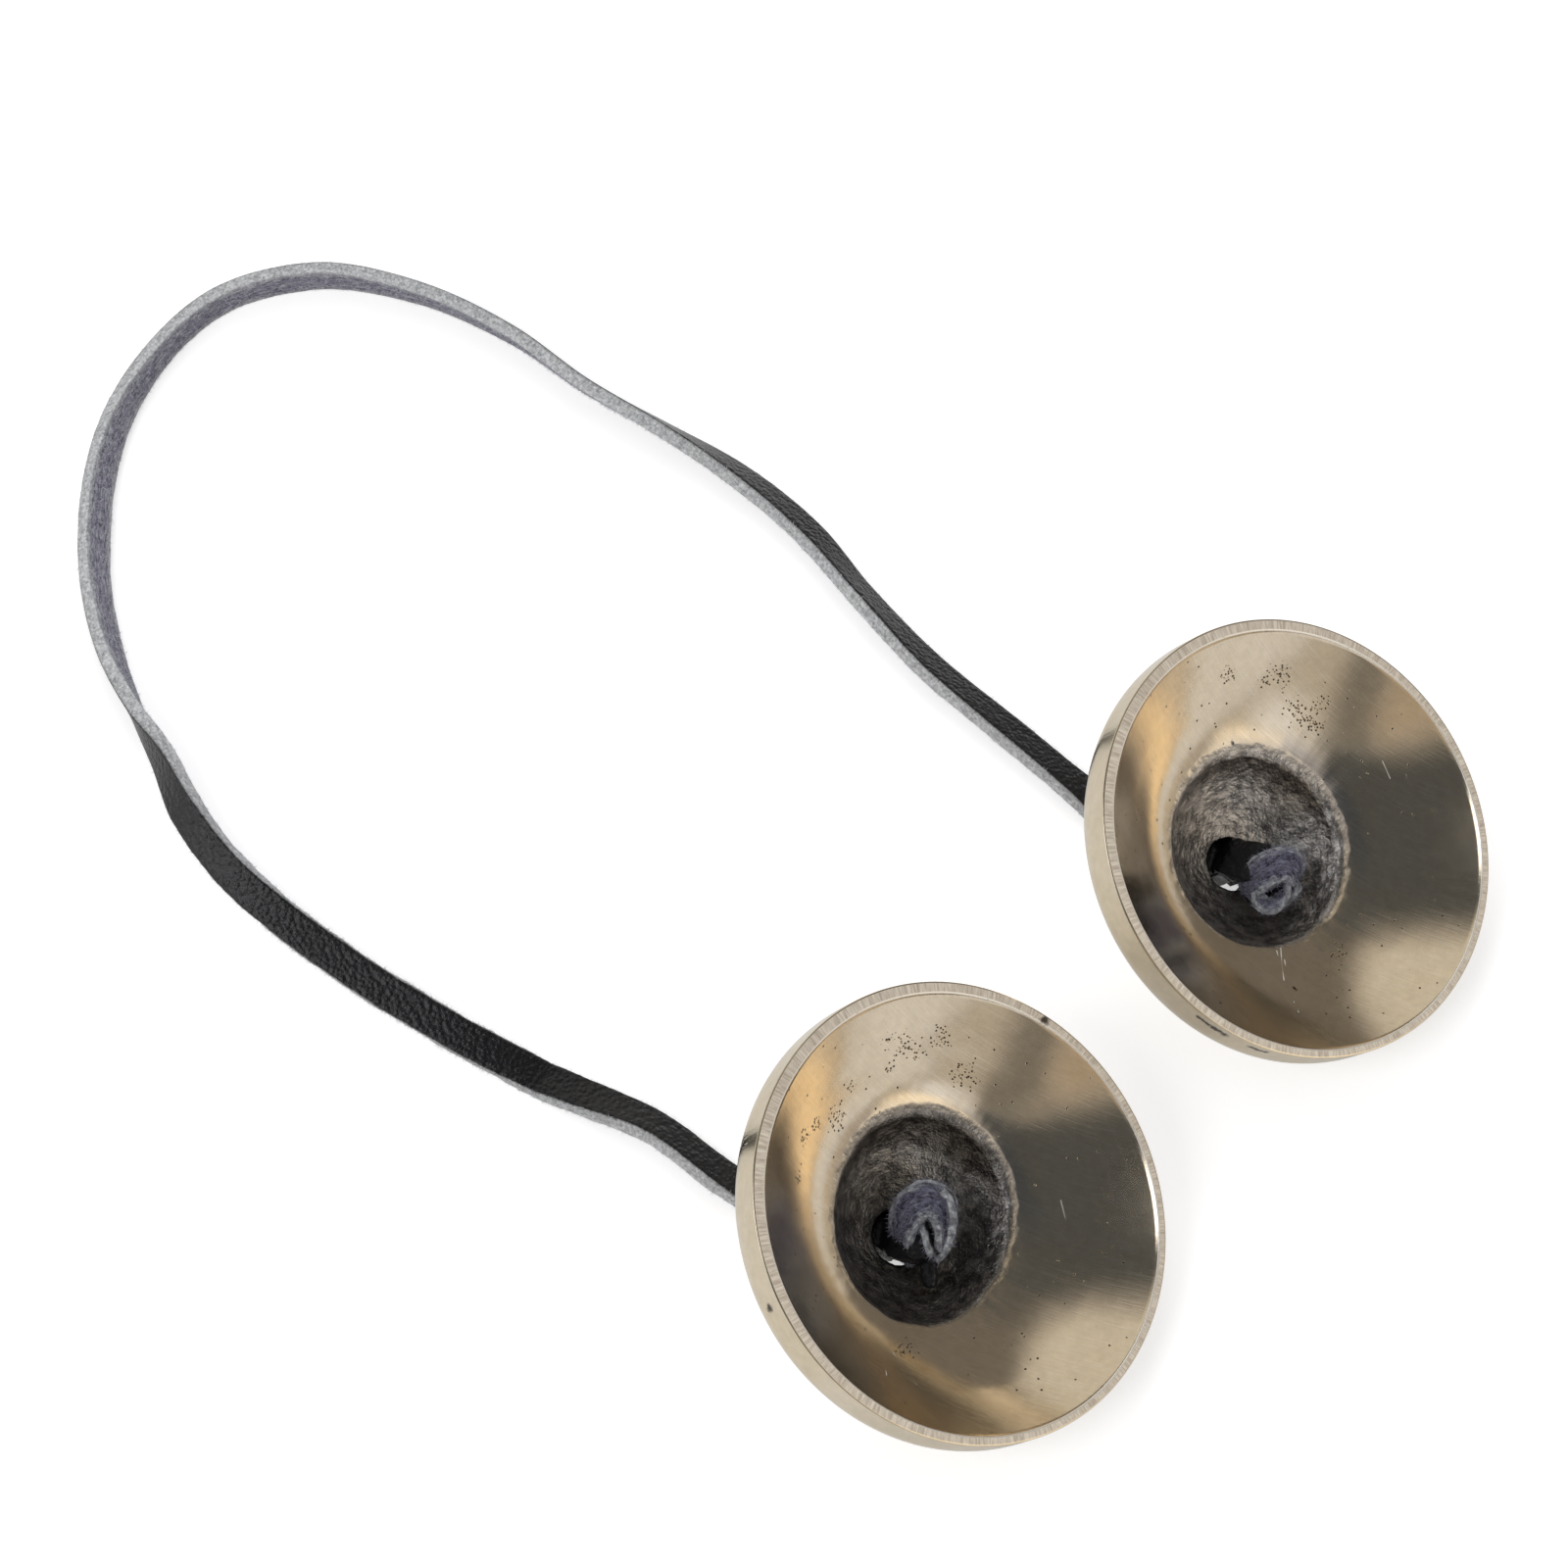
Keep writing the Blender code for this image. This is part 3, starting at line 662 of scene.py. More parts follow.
def cymbalSection():
    """Rows of (radius, depth below the rim, rim share, bowl share, cavity share), once round the section."""
    shape = cymbalShape
    rimRadius, depth = shape["rimRadius"], shape["sideDepth"]
    sweep = math.radians(shape["shoulderSweep"])
    shoulder = (rimRadius - shape["shoulderRadius"], depth)
    boss = (0.0, shape["bossCentreDepth"])
    bossRadius, fillet = shape["bossRadius"], shape["bossFillet"]
    cavityRadius = bossRadius - shape["wall"]
    reach = bossRadius + fillet
    offUnderside = shoulder[0] * math.cos(sweep) + shape["shoulderRadius"] + fillet
    offUnderside += (depth - boss[1]) * math.sin(sweep)
    bossStart = sweep - math.acos(offUnderside / reach)
    filletCentre = (reach * math.cos(bossStart), boss[1] + reach * math.sin(bossStart))
    hole, holeBreak, rimBreak = shape["holeRadius"], shape["holeBreak"], shape["rimBreak"]
    bossFoot = boss[1] + math.sqrt(bossRadius**2 - hole**2)
    cavityFoot = boss[1] + math.sqrt(cavityRadius**2 - hole**2)
    mouth, lip, creep = cavityRadius - shape["mouthInset"], shape["lipRadius"], shape["castCreep"]
    mouthDepth = boss[1] + math.sqrt(cavityRadius**2 - mouth**2)
    rimFoot = (rimRadius - shape["rimWidth"], shape["innerBreak"])

    underside = arcPoints(shoulder, shape["shoulderRadius"], 0, sweep, 26)
    filletArc = arcPoints(filletCentre, fillet, sweep + math.pi, bossStart + math.pi, 8)
    outside = bentCorner((rimRadius - rimBreak, 0), (rimRadius, 0), (rimRadius, rimBreak), 5)
    outside += lineOf((rimRadius, rimBreak * 1.5), (rimRadius, depth), 6)[:-1]
    outside += underside + lineOf(underside[-1], filletArc[0], 8)[1:-1] + filletArc
    outside += arcPoints(boss, bossRadius, bossStart, math.acos((hole + holeBreak) / bossRadius), 40)[1:]
    cavityStart = math.acos((hole + holeBreak) / cavityRadius)
    inHole = bentCorner((hole + holeBreak, bossFoot - 0.00003), (hole, bossFoot), (hole, bossFoot - holeBreak), 4)[1:]
    inHole += lineOf((hole, bossFoot - holeBreak), (hole, cavityFoot + holeBreak), 6)[1:-1]
    inHole += bentCorner((hole, cavityFoot + holeBreak), (hole, cavityFoot), (hole + holeBreak, cavityFoot), 4)[:-1]
    cavityEnd = math.asin((mouthDepth + lip - boss[1]) / cavityRadius)
    cavity = arcPoints(boss, cavityRadius, cavityStart, cavityEnd, 60)
    bowl = bowlCurve((mouth, mouthDepth), rimFoot, mouth + lip, 48)
    edge = bentCorner(cavity[-1], (mouth, mouthDepth), bowl[0], 11)[1:-1]
    innerEdge = bentCorner(rimFoot, (rimFoot[0] + 0.0001, 0.0), (rimFoot[0] + shape["innerBreak"], 0.0), 5)[1:]
    flat = lineOf((innerEdge[-1][0] + 0.0001, 0.0), (rimRadius - rimBreak * 1.2, 0.0), 7)

    rows = [(*p, 0, 0, 0) for p in outside]
    # the hole's bore gets a cavity share of 1.8, which the finish paints near black as painted shade
    rows += [(*p, 0, 0, 1.8) for p in inHole] + [(*p, 0, 0, 1) for p in cavity]
    for point in edge + bowl:
        cast = 0.9 * min(1.0, max(0.0, 1 - (point[0] - mouth) / creep))
        rows.append((*point, 0, 1 - cast, cast))
    # the inner edge's rim share of 0.6 is where the painted highlight line goes
    rows += [(*p, 0.6, 0.4, 0) for p in innerEdge]
    rows += [(*p, 1, 0, 0) for p in flat]
    return rows


def turningTree():
    """Turns a section about the Z axis and roughens its cavity."""
    tree = bpy.data.node_groups.new("turnedCymbal", "GeometryNodeTree")
    for name, kind in (("Section", "Geometry"), ("Steps around", "Int"), ("Section points", "Int"),
                       ("Cast grain", "Float"), ("Cast size", "Float"), ("Wobble", "Float"),
                       ("Wobble size", "Float"), ("Mouth radius", "Float"), ("Mouth shift", "Float"), ("Mouth out", "Float"),
                       ("Mouth stretch", "Float"), ("Mouth noise", "Float"), ("Noise place", "Float"),
                       ("Inner edge", "Float"), ("Rim shift", "Float"),
                       ("Material", "Material")):
        tree.interface.new_socket(name, in_out="INPUT", socket_type="NodeSocket" + kind)
    tree.interface.new_socket("Cymbal", in_out="OUTPUT", socket_type="NodeSocketGeometry")
    given = addNode(tree, "NodeGroupInput").outputs
    stepsAround, sectionPoints = given["Steps around"], given["Section points"]
    rows = calc(tree, "ADD", sectionPoints, 1)
    grid = addNode(tree, "GeometryNodeMeshGrid", {"Vertices X": calc(tree, "ADD", stepsAround, 1), "Vertices Y": rows})
    index = addNode(tree, "GeometryNodeInputIndex").outputs[0]
    column = calc(tree, "FLOOR", calc(tree, "DIVIDE", calc(tree, "ADD", index, 0.5), rows))
    row = calc(tree, "SUBTRACT", index, calc(tree, "MULTIPLY", column, rows))
    wrapped = calc(tree, "MULTIPLY", row, calc(tree, "LESS_THAN", row, calc(tree, "SUBTRACT", sectionPoints, 0.5)))

    def sampled(value):
        node = addNode(tree, "GeometryNodeSampleIndex", {"Geometry": given["Section"], "Index": wrapped},
                       data_type="FLOAT_VECTOR", domain="POINT")
        tree.links.new(value, node.inputs["Value"])
        return node.outputs["Value"]

    point = addNode(tree, "ShaderNodeSeparateXYZ", {0: sampled(addNode(tree, "GeometryNodeInputPosition").outputs[0])})
    zoneName = addNode(tree, "GeometryNodeInputNamedAttribute", {"Name": "zone"}, data_type="FLOAT_VECTOR")
    zone = sampled(zoneName.outputs["Attribute"])
    angle = calc(tree, "DIVIDE", calc(tree, "MULTIPLY", column, math.tau), stepsAround)
    radius, mouth = point.outputs["X"], given["Mouth radius"]
    sine, cosine = calc(tree, "SINE", angle), calc(tree, "COSINE", angle)
    shares = addNode(tree, "ShaderNodeSeparateXYZ", {0: zone})
    uneven = calc(tree, "ADD", shares.outputs["Y"], shares.outputs["Z"])
    uneven = calc(tree, "MULTIPLY", uneven, easeRange(tree, radius, calc(tree, "MULTIPLY", mouth, 0.5), mouth))
    uneven = calc(tree, "MULTIPLY", uneven, easeRange(tree, radius, calc(tree, "MULTIPLY", mouth, 1.7),
                                                      calc(tree, "MULTIPLY", mouth, 1.05)))
    ring = addNode(tree, "ShaderNodeCombineXYZ", {"X": cosine, "Y": sine, "Z": given["Noise place"]}).outputs[0]
    ripple = calc(tree, "MULTIPLY", calc(tree, "SUBTRACT", noiseAt(tree, ring, 3.2, 3.0), 0.5), 2.0)
    give = calc(tree, "MULTIPLY", ripple, given["Mouth noise"])
    give = calc(tree, "ADD", give, calc(tree, "MULTIPLY", sine, given["Mouth shift"]))
    give = calc(tree, "ADD", give, calc(tree, "MULTIPLY", cosine, given["Mouth out"]))
    twice = calc(tree, "COSINE", calc(tree, "MULTIPLY", angle, 2.0))
    give = calc(tree, "SUBTRACT", give, calc(tree, "MULTIPLY", twice, given["Mouth stretch"]))
    give = calc(tree, "MULTIPLY", give, uneven)
    edge = given["Inner edge"]
    nearEdge = calc(tree, "MULTIPLY", easeRange(tree, radius, calc(tree, "MULTIPLY", edge, 0.5), edge),
                    easeRange(tree, radius, calc(tree, "MULTIPLY", edge, 1.04), edge))
    nearEdge = calc(tree, "MULTIPLY", nearEdge, calc(tree, "ADD", shares.outputs["X"], shares.outputs["Y"]))
    give = calc(tree, "ADD", give, calc(tree, "MULTIPLY", calc(tree, "MULTIPLY", cosine, given["Rim shift"]), nearEdge))
    radius = calc(tree, "ADD", radius, give)
    turned = addNode(tree, "ShaderNodeCombineXYZ", {
        "X": calc(tree, "MULTIPLY", radius, cosine),
        "Y": calc(tree, "MULTIPLY", radius, sine),
        "Z": point.outputs["Z"]}).outputs[0]
    flow = grid.outputs["Mesh"]
    for name, value in (("zone", zone), ("turned", turned)):
        flow = addNode(tree, "GeometryNodeStoreNamedAttribute", {"Geometry": flow, "Name": name, "Value": value},
                       data_type="FLOAT_VECTOR", domain="POINT").outputs[0]
    flow = addNode(tree, "GeometryNodeSetPosition", {"Geometry": flow, "Position": turned}).outputs[0]
    flow = addNode(tree, "GeometryNodeMergeByDistance", {"Geometry": flow, "Distance": 0.000001}).outputs[0]
    moved = addNode(tree, "ShaderNodeCombineXYZ", {"X": given["Noise place"]}).outputs[0]
    place = addNode(tree, "ShaderNodeVectorMath", {0: addNode(tree, "GeometryNodeInputPosition").outputs[0],
                                                   1: moved}, operation="ADD").outputs[0]
    kept = addNode(tree, "ShaderNodeSeparateXYZ", {0: addNode(
        tree, "GeometryNodeInputNamedAttribute", {"Name": "zone"}, data_type="FLOAT_VECTOR").outputs["Attribute"]})
    amounts = []
    for share, size, amount, detail in ((kept.outputs["Z"], given["Cast size"], given["Cast grain"], 4.0),
                                        (kept.outputs["Y"], given["Wobble size"], given["Wobble"], 1.0)):
        wave = calc(tree, "SUBTRACT", noiseAt(tree, place, size, detail), 0.5)
        amounts.append(calc(tree, "MULTIPLY", calc(tree, "MULTIPLY", wave, 2.0), calc(tree, "MULTIPLY", share, amount)))
    push = addNode(tree, "ShaderNodeVectorMath", {0: addNode(tree, "GeometryNodeInputNormal").outputs[0],
                                                  "Scale": calc(tree, "ADD", *amounts)}, operation="SCALE")
    flow = addNode(tree, "GeometryNodeSetPosition", {"Geometry": flow, "Offset": push.outputs[0]}).outputs[0]
    flow = addNode(tree, "GeometryNodeSetShadeSmooth", {"Geometry": flow}).outputs[0]
    flow = addNode(tree, "GeometryNodeRealizeInstances", {"Geometry": flow}).outputs[0]
    flow = addNode(tree, "GeometryNodeSetMaterial", {"Geometry": flow, "Material": given["Material"]}).outputs[0]
    addNode(tree, "NodeGroupOutput", {"Cymbal": flow})
    return tree


def setInputs(modifier, values):
    """Sets a Geometry Nodes modifier's inputs by their sockets' identifiers."""
    for item in modifier.node_group.interface.items_tree:
        if item.item_type == "SOCKET" and item.in_out == "INPUT" and item.name in values:
            modifier[item.identifier] = values[item.name]


def plainMesh(obj, name, place=None):
    """What an object's modifiers make, as a plain mesh object at the origin."""
    bpy.context.view_layer.update()
    graph = bpy.context.evaluated_depsgraph_get()
    mesh = bpy.data.meshes.new_from_object(obj.evaluated_get(graph), preserve_all_data_layers=True, depsgraph=graph)
    if place is not None:
        mesh.transform(place)
    bpy.data.objects.remove(obj, do_unlink=True)
    bm = bmesh.new()
    bm.from_mesh(mesh)
    if bm.calc_volume(signed=True) < 0:
        bmesh.ops.reverse_faces(bm, faces=bm.faces)
    bm.to_mesh(mesh)
    bm.free()
    mesh.name = name
    made = bpy.data.objects.new(name, mesh)
    bpy.context.scene.collection.objects.link(made)
    return made


def cymbal(side, tree, material):
    rows = cymbalSection()
    shift, outward, stretch, noisePlace = cymbalShape["mouths"][side]
    mesh = bpy.data.meshes.new("cymbalSection")
    mesh.from_pydata([(row[0], 0.0, -row[1]) for row in rows], [(k, k + 1) for k in range(len(rows) - 1)], [])
    mesh.attributes.new("zone", "FLOAT_VECTOR", "POINT").data.foreach_set(
        "vector", np.array([row[2:] for row in rows], np.float32).ravel())
    source = bpy.data.objects.new("cymbalSection", mesh)
    bpy.context.scene.collection.objects.link(source)
    modifier = source.modifiers.new("Turn", "NODES")
    modifier.node_group = tree
    setInputs(modifier, {
        "Steps around": cymbalShape["stepsAround"],
        "Section points": len(rows),
        "Cast grain": cymbalShape["castGrain"],
        "Cast size": cymbalShape["castSize"],
        "Wobble": cymbalShape["wobble"],
        "Wobble size": cymbalShape["wobbleSize"],
        "Mouth radius": cymbalShape["bossRadius"] - cymbalShape["wall"] - cymbalShape["mouthInset"],
        "Mouth shift": shift,
        "Mouth out": outward,
        "Mouth stretch": stretch,
        "Mouth noise": cymbalShape["mouthNoise"],
        "Noise place": noisePlace,
        "Inner edge": cymbalShape["rimRadius"] - cymbalShape["rimWidth"] + cymbalShape["innerBreak"],
        "Rim shift": cymbalShape["rimShift"],
        "Material": material,
    })
    return plainMesh(source, "cymbal_bronze_" + side, cymbalPlace(side))


# Finishes

def spotShare(tree, own, spots):
    """How far a point is inside any of the spots, which are x, y, z and reach in millimetres."""
    share = None
    for x, y, z, reach in spots:
        away = addNode(tree, "ShaderNodeVectorMath", {0: own, 1: (x / 1000, y / 1000, z / 1000)},
                       operation="DISTANCE").outputs["Value"]
        near = mapRange(tree, away, reach / 1000, reach / 2500)
        share = near if share is None else calc(tree, "MAXIMUM", share, near)
    return share


def lineShare(tree, own, lines):
    # How near a point is to any of the lines, from a place to a place with a reach, in millimetres
    share = 0.0
    for first, last, reach in lines:
        start, way = Vector(first) / 1000, (Vector(last) - Vector(first)) / 1000
        off = addNode(tree, "ShaderNodeVectorMath", {0: own, 1: start}, operation="SUBTRACT").outputs[0]
        reached = addNode(tree, "ShaderNodeVectorMath", {0: off, 1: way}, operation="DOT_PRODUCT").outputs["Value"]
        reached = mapRange(tree, reached, 0.0, way.length_squared)
        nearest = addNode(tree, "ShaderNodeVectorMath", {0: reached, 1: way, 2: start}, operation="MULTIPLY_ADD")
        away = addNode(tree, "ShaderNodeVectorMath", {0: own, 1: nearest.outputs[0]}, operation="DISTANCE")
        near = mapRange(tree, away.outputs["Value"], reach / 1000, reach / 2500)
        share = calc(tree, "MAXIMUM", share, near)
    return share


def bronzeMaterial(side):
    material, tree, shader = newMaterial("bronze_" + side)
    own = addNode(tree, "ShaderNodeAttribute", attribute_name="turned").outputs["Vector"]
    zones = addNode(tree, "ShaderNodeSeparateXYZ", {0: addNode(
        tree, "ShaderNodeAttribute", attribute_name="zone").outputs["Vector"]})
    rim, bowl, castShare = zones.outputs
    flat = addNode(tree, "ShaderNodeVectorMath", {0: own, 1: (1, 1, 0)}, operation="MULTIPLY").outputs[0]
    radius = addNode(tree, "ShaderNodeVectorMath", {0: flat}, operation="LENGTH").outputs["Value"]
    around = addNode(tree, "ShaderNodeVectorMath", {0: flat}, operation="NORMALIZE").outputs[0]

    def ringVector(turns, steps):
        spread = addNode(tree, "ShaderNodeVectorMath", {0: around, "Scale": turns}, operation="SCALE").outputs[0]
        lift = addNode(tree, "ShaderNodeCombineXYZ", {"Z": calc(tree, "MULTIPLY", radius, steps)}).outputs[0]
        return addNode(tree, "ShaderNodeVectorMath", {0: spread, 1: lift}, operation="ADD").outputs[0]

    def turnedAndStretched(turn, stretch):
        return addNode(tree, "ShaderNodeMapping", {"Vector": own, "Rotation": (0.0, 0.0, turn), "Scale": stretch}
                       ).outputs[0]

    ticks = mapRange(tree, noiseAt(tree, ringVector(90.0, 300.0), 1.0, 3.0, 0.7), 0.36, 0.64)
    rings = noiseAt(tree, ringVector(2.4, 7000.0), 1.0, 4.0, 0.7)
    patch = mapRange(tree, noiseAt(tree, own, 75.0, 4.0, 0.6), 0.35, 0.7)
    hammered = noiseAt(tree, own, 520.0, 1.5, 0.5)
    brushed = noiseAt(tree, ringVector(110.0, 90.0), 1.0, 3.0, 0.6)
    cast = noiseAt(tree, own, 1300.0, 3.0, 0.6)
    stain = mapRange(tree, noiseAt(tree, own, 620.0, 5.0, 0.7), 0.3, 0.7, 0.86, 1.0)
    sparkle = mapRange(tree, noiseAt(tree, own, 2600.0, 3.0, 0.8), 0.56, 0.66)
    scratch = None
    for turn in (0.5, 1.9, 2.7):
        line = noiseAt(tree, turnedAndStretched(turn, (170.0, 3600.0, 170.0)), 1.0, 2.0, 0.6)
        line = mapRange(tree, line, 0.56, 0.72)
        scratch = line if scratch is None else calc(tree, "MAXIMUM", scratch, line)
    warped = addNode(tree, "ShaderNodeVectorMath", {0: noiseAt(tree, own, 900.0, 2.0, 0.6, "Color"),
                                                    "Scale": 0.0014}, operation="SCALE").outputs[0]
    warped = addNode(tree, "ShaderNodeVectorMath", {0: own, 1: warped}, operation="ADD").outputs[0]
    warped = addNode(tree, "ShaderNodeVectorMath", {0: warped, 1: (0.0007, 0.0007, 0.0007)},
                     operation="SUBTRACT").outputs[0]
    cells = addNode(tree, "ShaderNodeTexVoronoi", {"Vector": own, "Scale": 2300.0, "Randomness": 1.0})
    chance = addNode(tree, "ShaderNodeSeparateXYZ", {0: cells.outputs["Color"]}).outputs["X"]
    pitted = calc(tree, "MULTIPLY", spotShare(tree, warped, cymbalMarks[side]["pitted"]), 0.9)
    shown = calc(tree, "LESS_THAN", chance, calc(tree, "ADD", pitted, 0.01))
    pits = calc(tree, "MULTIPLY", shown, mapRange(tree, cells.outputs["Distance"], 0.44, 0.24))
    pits = calc(tree, "MULTIPLY", pits, bowl)
    dents = spotShare(tree, warped, cymbalMarks[side]["dents"])
    dents = calc(tree, "MAXIMUM", dents, lineShare(tree, warped, cymbalMarks[side]["dashes"]))
    lines = lineShare(tree, own, cymbalMarks[side]["scratches"])
    farSide = addNode(tree, "ShaderNodeVectorMath", {0: around, 1: (-0.17, 0.98, 0.0)}, operation="DOT_PRODUCT")
    sooty = calc(tree, "MULTIPLY_ADD", farSide.outputs["Value"], 0.65, calc(tree, "MULTIPLY_ADD", hammered, 1.0, -0.98))
    halfway = calc(tree, "MULTIPLY", castShare, calc(tree, "MAXIMUM", calc(tree, "SUBTRACT", 1.0, castShare), 0.0))
    castEdge = calc(tree, "MULTIPLY_ADD", sooty, calc(tree, "MULTIPLY", halfway, 2.0), castShare)
    cavity = easeRange(tree, castEdge, 0.1, 0.8)
    # painted highlight: a bright line along the rim's inner edge
    paintedRimHighlight = calc(tree, "MULTIPLY", easeRange(tree, rim, 0.15, 0.45), easeRange(tree, rim, 0.95, 0.7))

    wallTone = mixColour(tree, patch, (0.84, 0.74, 0.57), (0.78, 0.66, 0.47))
    bowlTone = mixColour(tree, patch, (0.88, 0.745, 0.56), (0.80, 0.66, 0.475))
    bowlTone = mixColour(tree, mapRange(tree, rings, 0.3, 0.75, 0.0, 0.25), bowlTone, (0.88, 0.79, 0.65))
    rimTone = mixColour(tree, ticks, (0.62, 0.53, 0.43), (1.0, 0.91, 0.77))
    castTone = mixColour(tree, mapRange(tree, hammered, 0.38, 0.62), (0.20, 0.19, 0.185), (0.50, 0.475, 0.455))
    castTone = mixColour(tree, sparkle, castTone, (0.66, 0.63, 0.60))
    # painted light and shade: each cavity's cast skin is lightened or darkened by its own factor
    castTone = mixColour(tree, 1.0, castTone, [cymbalShape["cavityPaintedLight"][side]] * 3, "MULTIPLY")
    shaded = calc(tree, "MULTIPLY", easeRange(tree, radius, 0.0118, 0.0138), easeRange(tree, castShare, 0.9, 0.98))
    shaded = calc(tree, "MULTIPLY", shaded, easeRange(tree, farSide.outputs["Value"], -0.2, 0.8))
    castTone = mixColour(tree, shaded, castTone, (0.50, 0.48, 0.46), "MULTIPLY")
    # painted shade: the hole's bore is made near black
    castTone = mixColour(tree, mapRange(tree, castShare, 1.1, 1.6), castTone, (0.02, 0.019, 0.018))
    tone = mixColour(tree, bowl, wallTone, bowlTone)
    tone = mixColour(tree, 1.0, tone, stain, "MULTIPLY")
    # a darker, bluer band on the bowl round the mouth, on its far side
    farMouthDarkening = calc(tree, "MULTIPLY", easeRange(tree, radius, 0.0194, 0.0156),
                easeRange(tree, farSide.outputs["Value"], -0.1, 0.9))
    tone = mixColour(tree, farMouthDarkening, tone, (0.60, 0.66, 0.84), "MULTIPLY")
    tone = mixColour(tree, calc(tree, "MULTIPLY", scratch, calc(tree, "MULTIPLY", bowl, 0.25)), tone, (0.98, 0.92, 0.80))
    tone = mixColour(tree, rim, tone, rimTone)
    tone = mixColour(tree, paintedRimHighlight, tone, (1.0, 0.94, 0.84))
    tone = mixColour(tree, cavity, tone, castTone)
    tone = mixColour(tree, calc(tree, "MAXIMUM", pits, dents), tone, (0.08, 0.065, 0.05))
    tone = mixColour(tree, lines, tone, (0.92, 0.88, 0.80))
    tree.links.new(tone, shader.inputs["Base Color"])

    rough = calc(tree, "ADD", 0.11, calc(tree, "MULTIPLY", rings, 0.06))
    rough = calc(tree, "ADD", rough, calc(tree, "MULTIPLY", patch, 0.05))
    rough = calc(tree, "ADD", rough, calc(tree, "MULTIPLY", rim, 0.2))
    rough = calc(tree, "ADD", rough, calc(tree, "MULTIPLY", cavity, 0.2))
    tree.links.new(rough, shader.inputs["Roughness"])
    dull = calc(tree, "MAXIMUM", calc(tree, "MULTIPLY", lines, 0.6), calc(tree, "MULTIPLY", rim, 0.5))
    tree.links.new(calc(tree, "SUBTRACT", 1.0, dull), shader.inputs["Metallic"])

    height = calc(tree, "MULTIPLY", calc(tree, "ADD", rings, brushed), calc(tree, "MULTIPLY", bowl, 0.02))
    height = calc(tree, "ADD", height, calc(tree, "MULTIPLY", scratch, 0.02))
    height = calc(tree, "ADD", height, calc(tree, "MULTIPLY", hammered, calc(tree, "MULTIPLY", cavity, 0.8)))
    height = calc(tree, "ADD", height, calc(tree, "MULTIPLY", ticks, calc(tree, "MULTIPLY", rim, 0.06)))
    height = calc(tree, "ADD", height, calc(tree, "MULTIPLY", cast, calc(tree, "MULTIPLY", cavity, 2.3)))
    height = calc(tree, "SUBTRACT", height, calc(tree, "MULTIPLY", calc(tree, "MAXIMUM", pits, dents), 0.4))
    bump = addNode(tree, "ShaderNodeBump", {"Height": height, "Strength": 0.7, "Distance": 0.0002})
    tree.links.new(bump.outputs["Normal"], shader.inputs["Normal"])
    return material


def newGroup(name, inputs, outputs):
    tree = bpy.data.node_groups.new(name, "ShaderNodeTree")
    for title, kind in inputs:
        tree.interface.new_socket(title, in_out="INPUT", socket_type="NodeSocket" + kind)
    for title, kind in outputs:
        tree.interface.new_socket(title, in_out="OUTPUT", socket_type="NodeSocket" + kind)
    return tree, addNode(tree, "NodeGroupInput").outputs


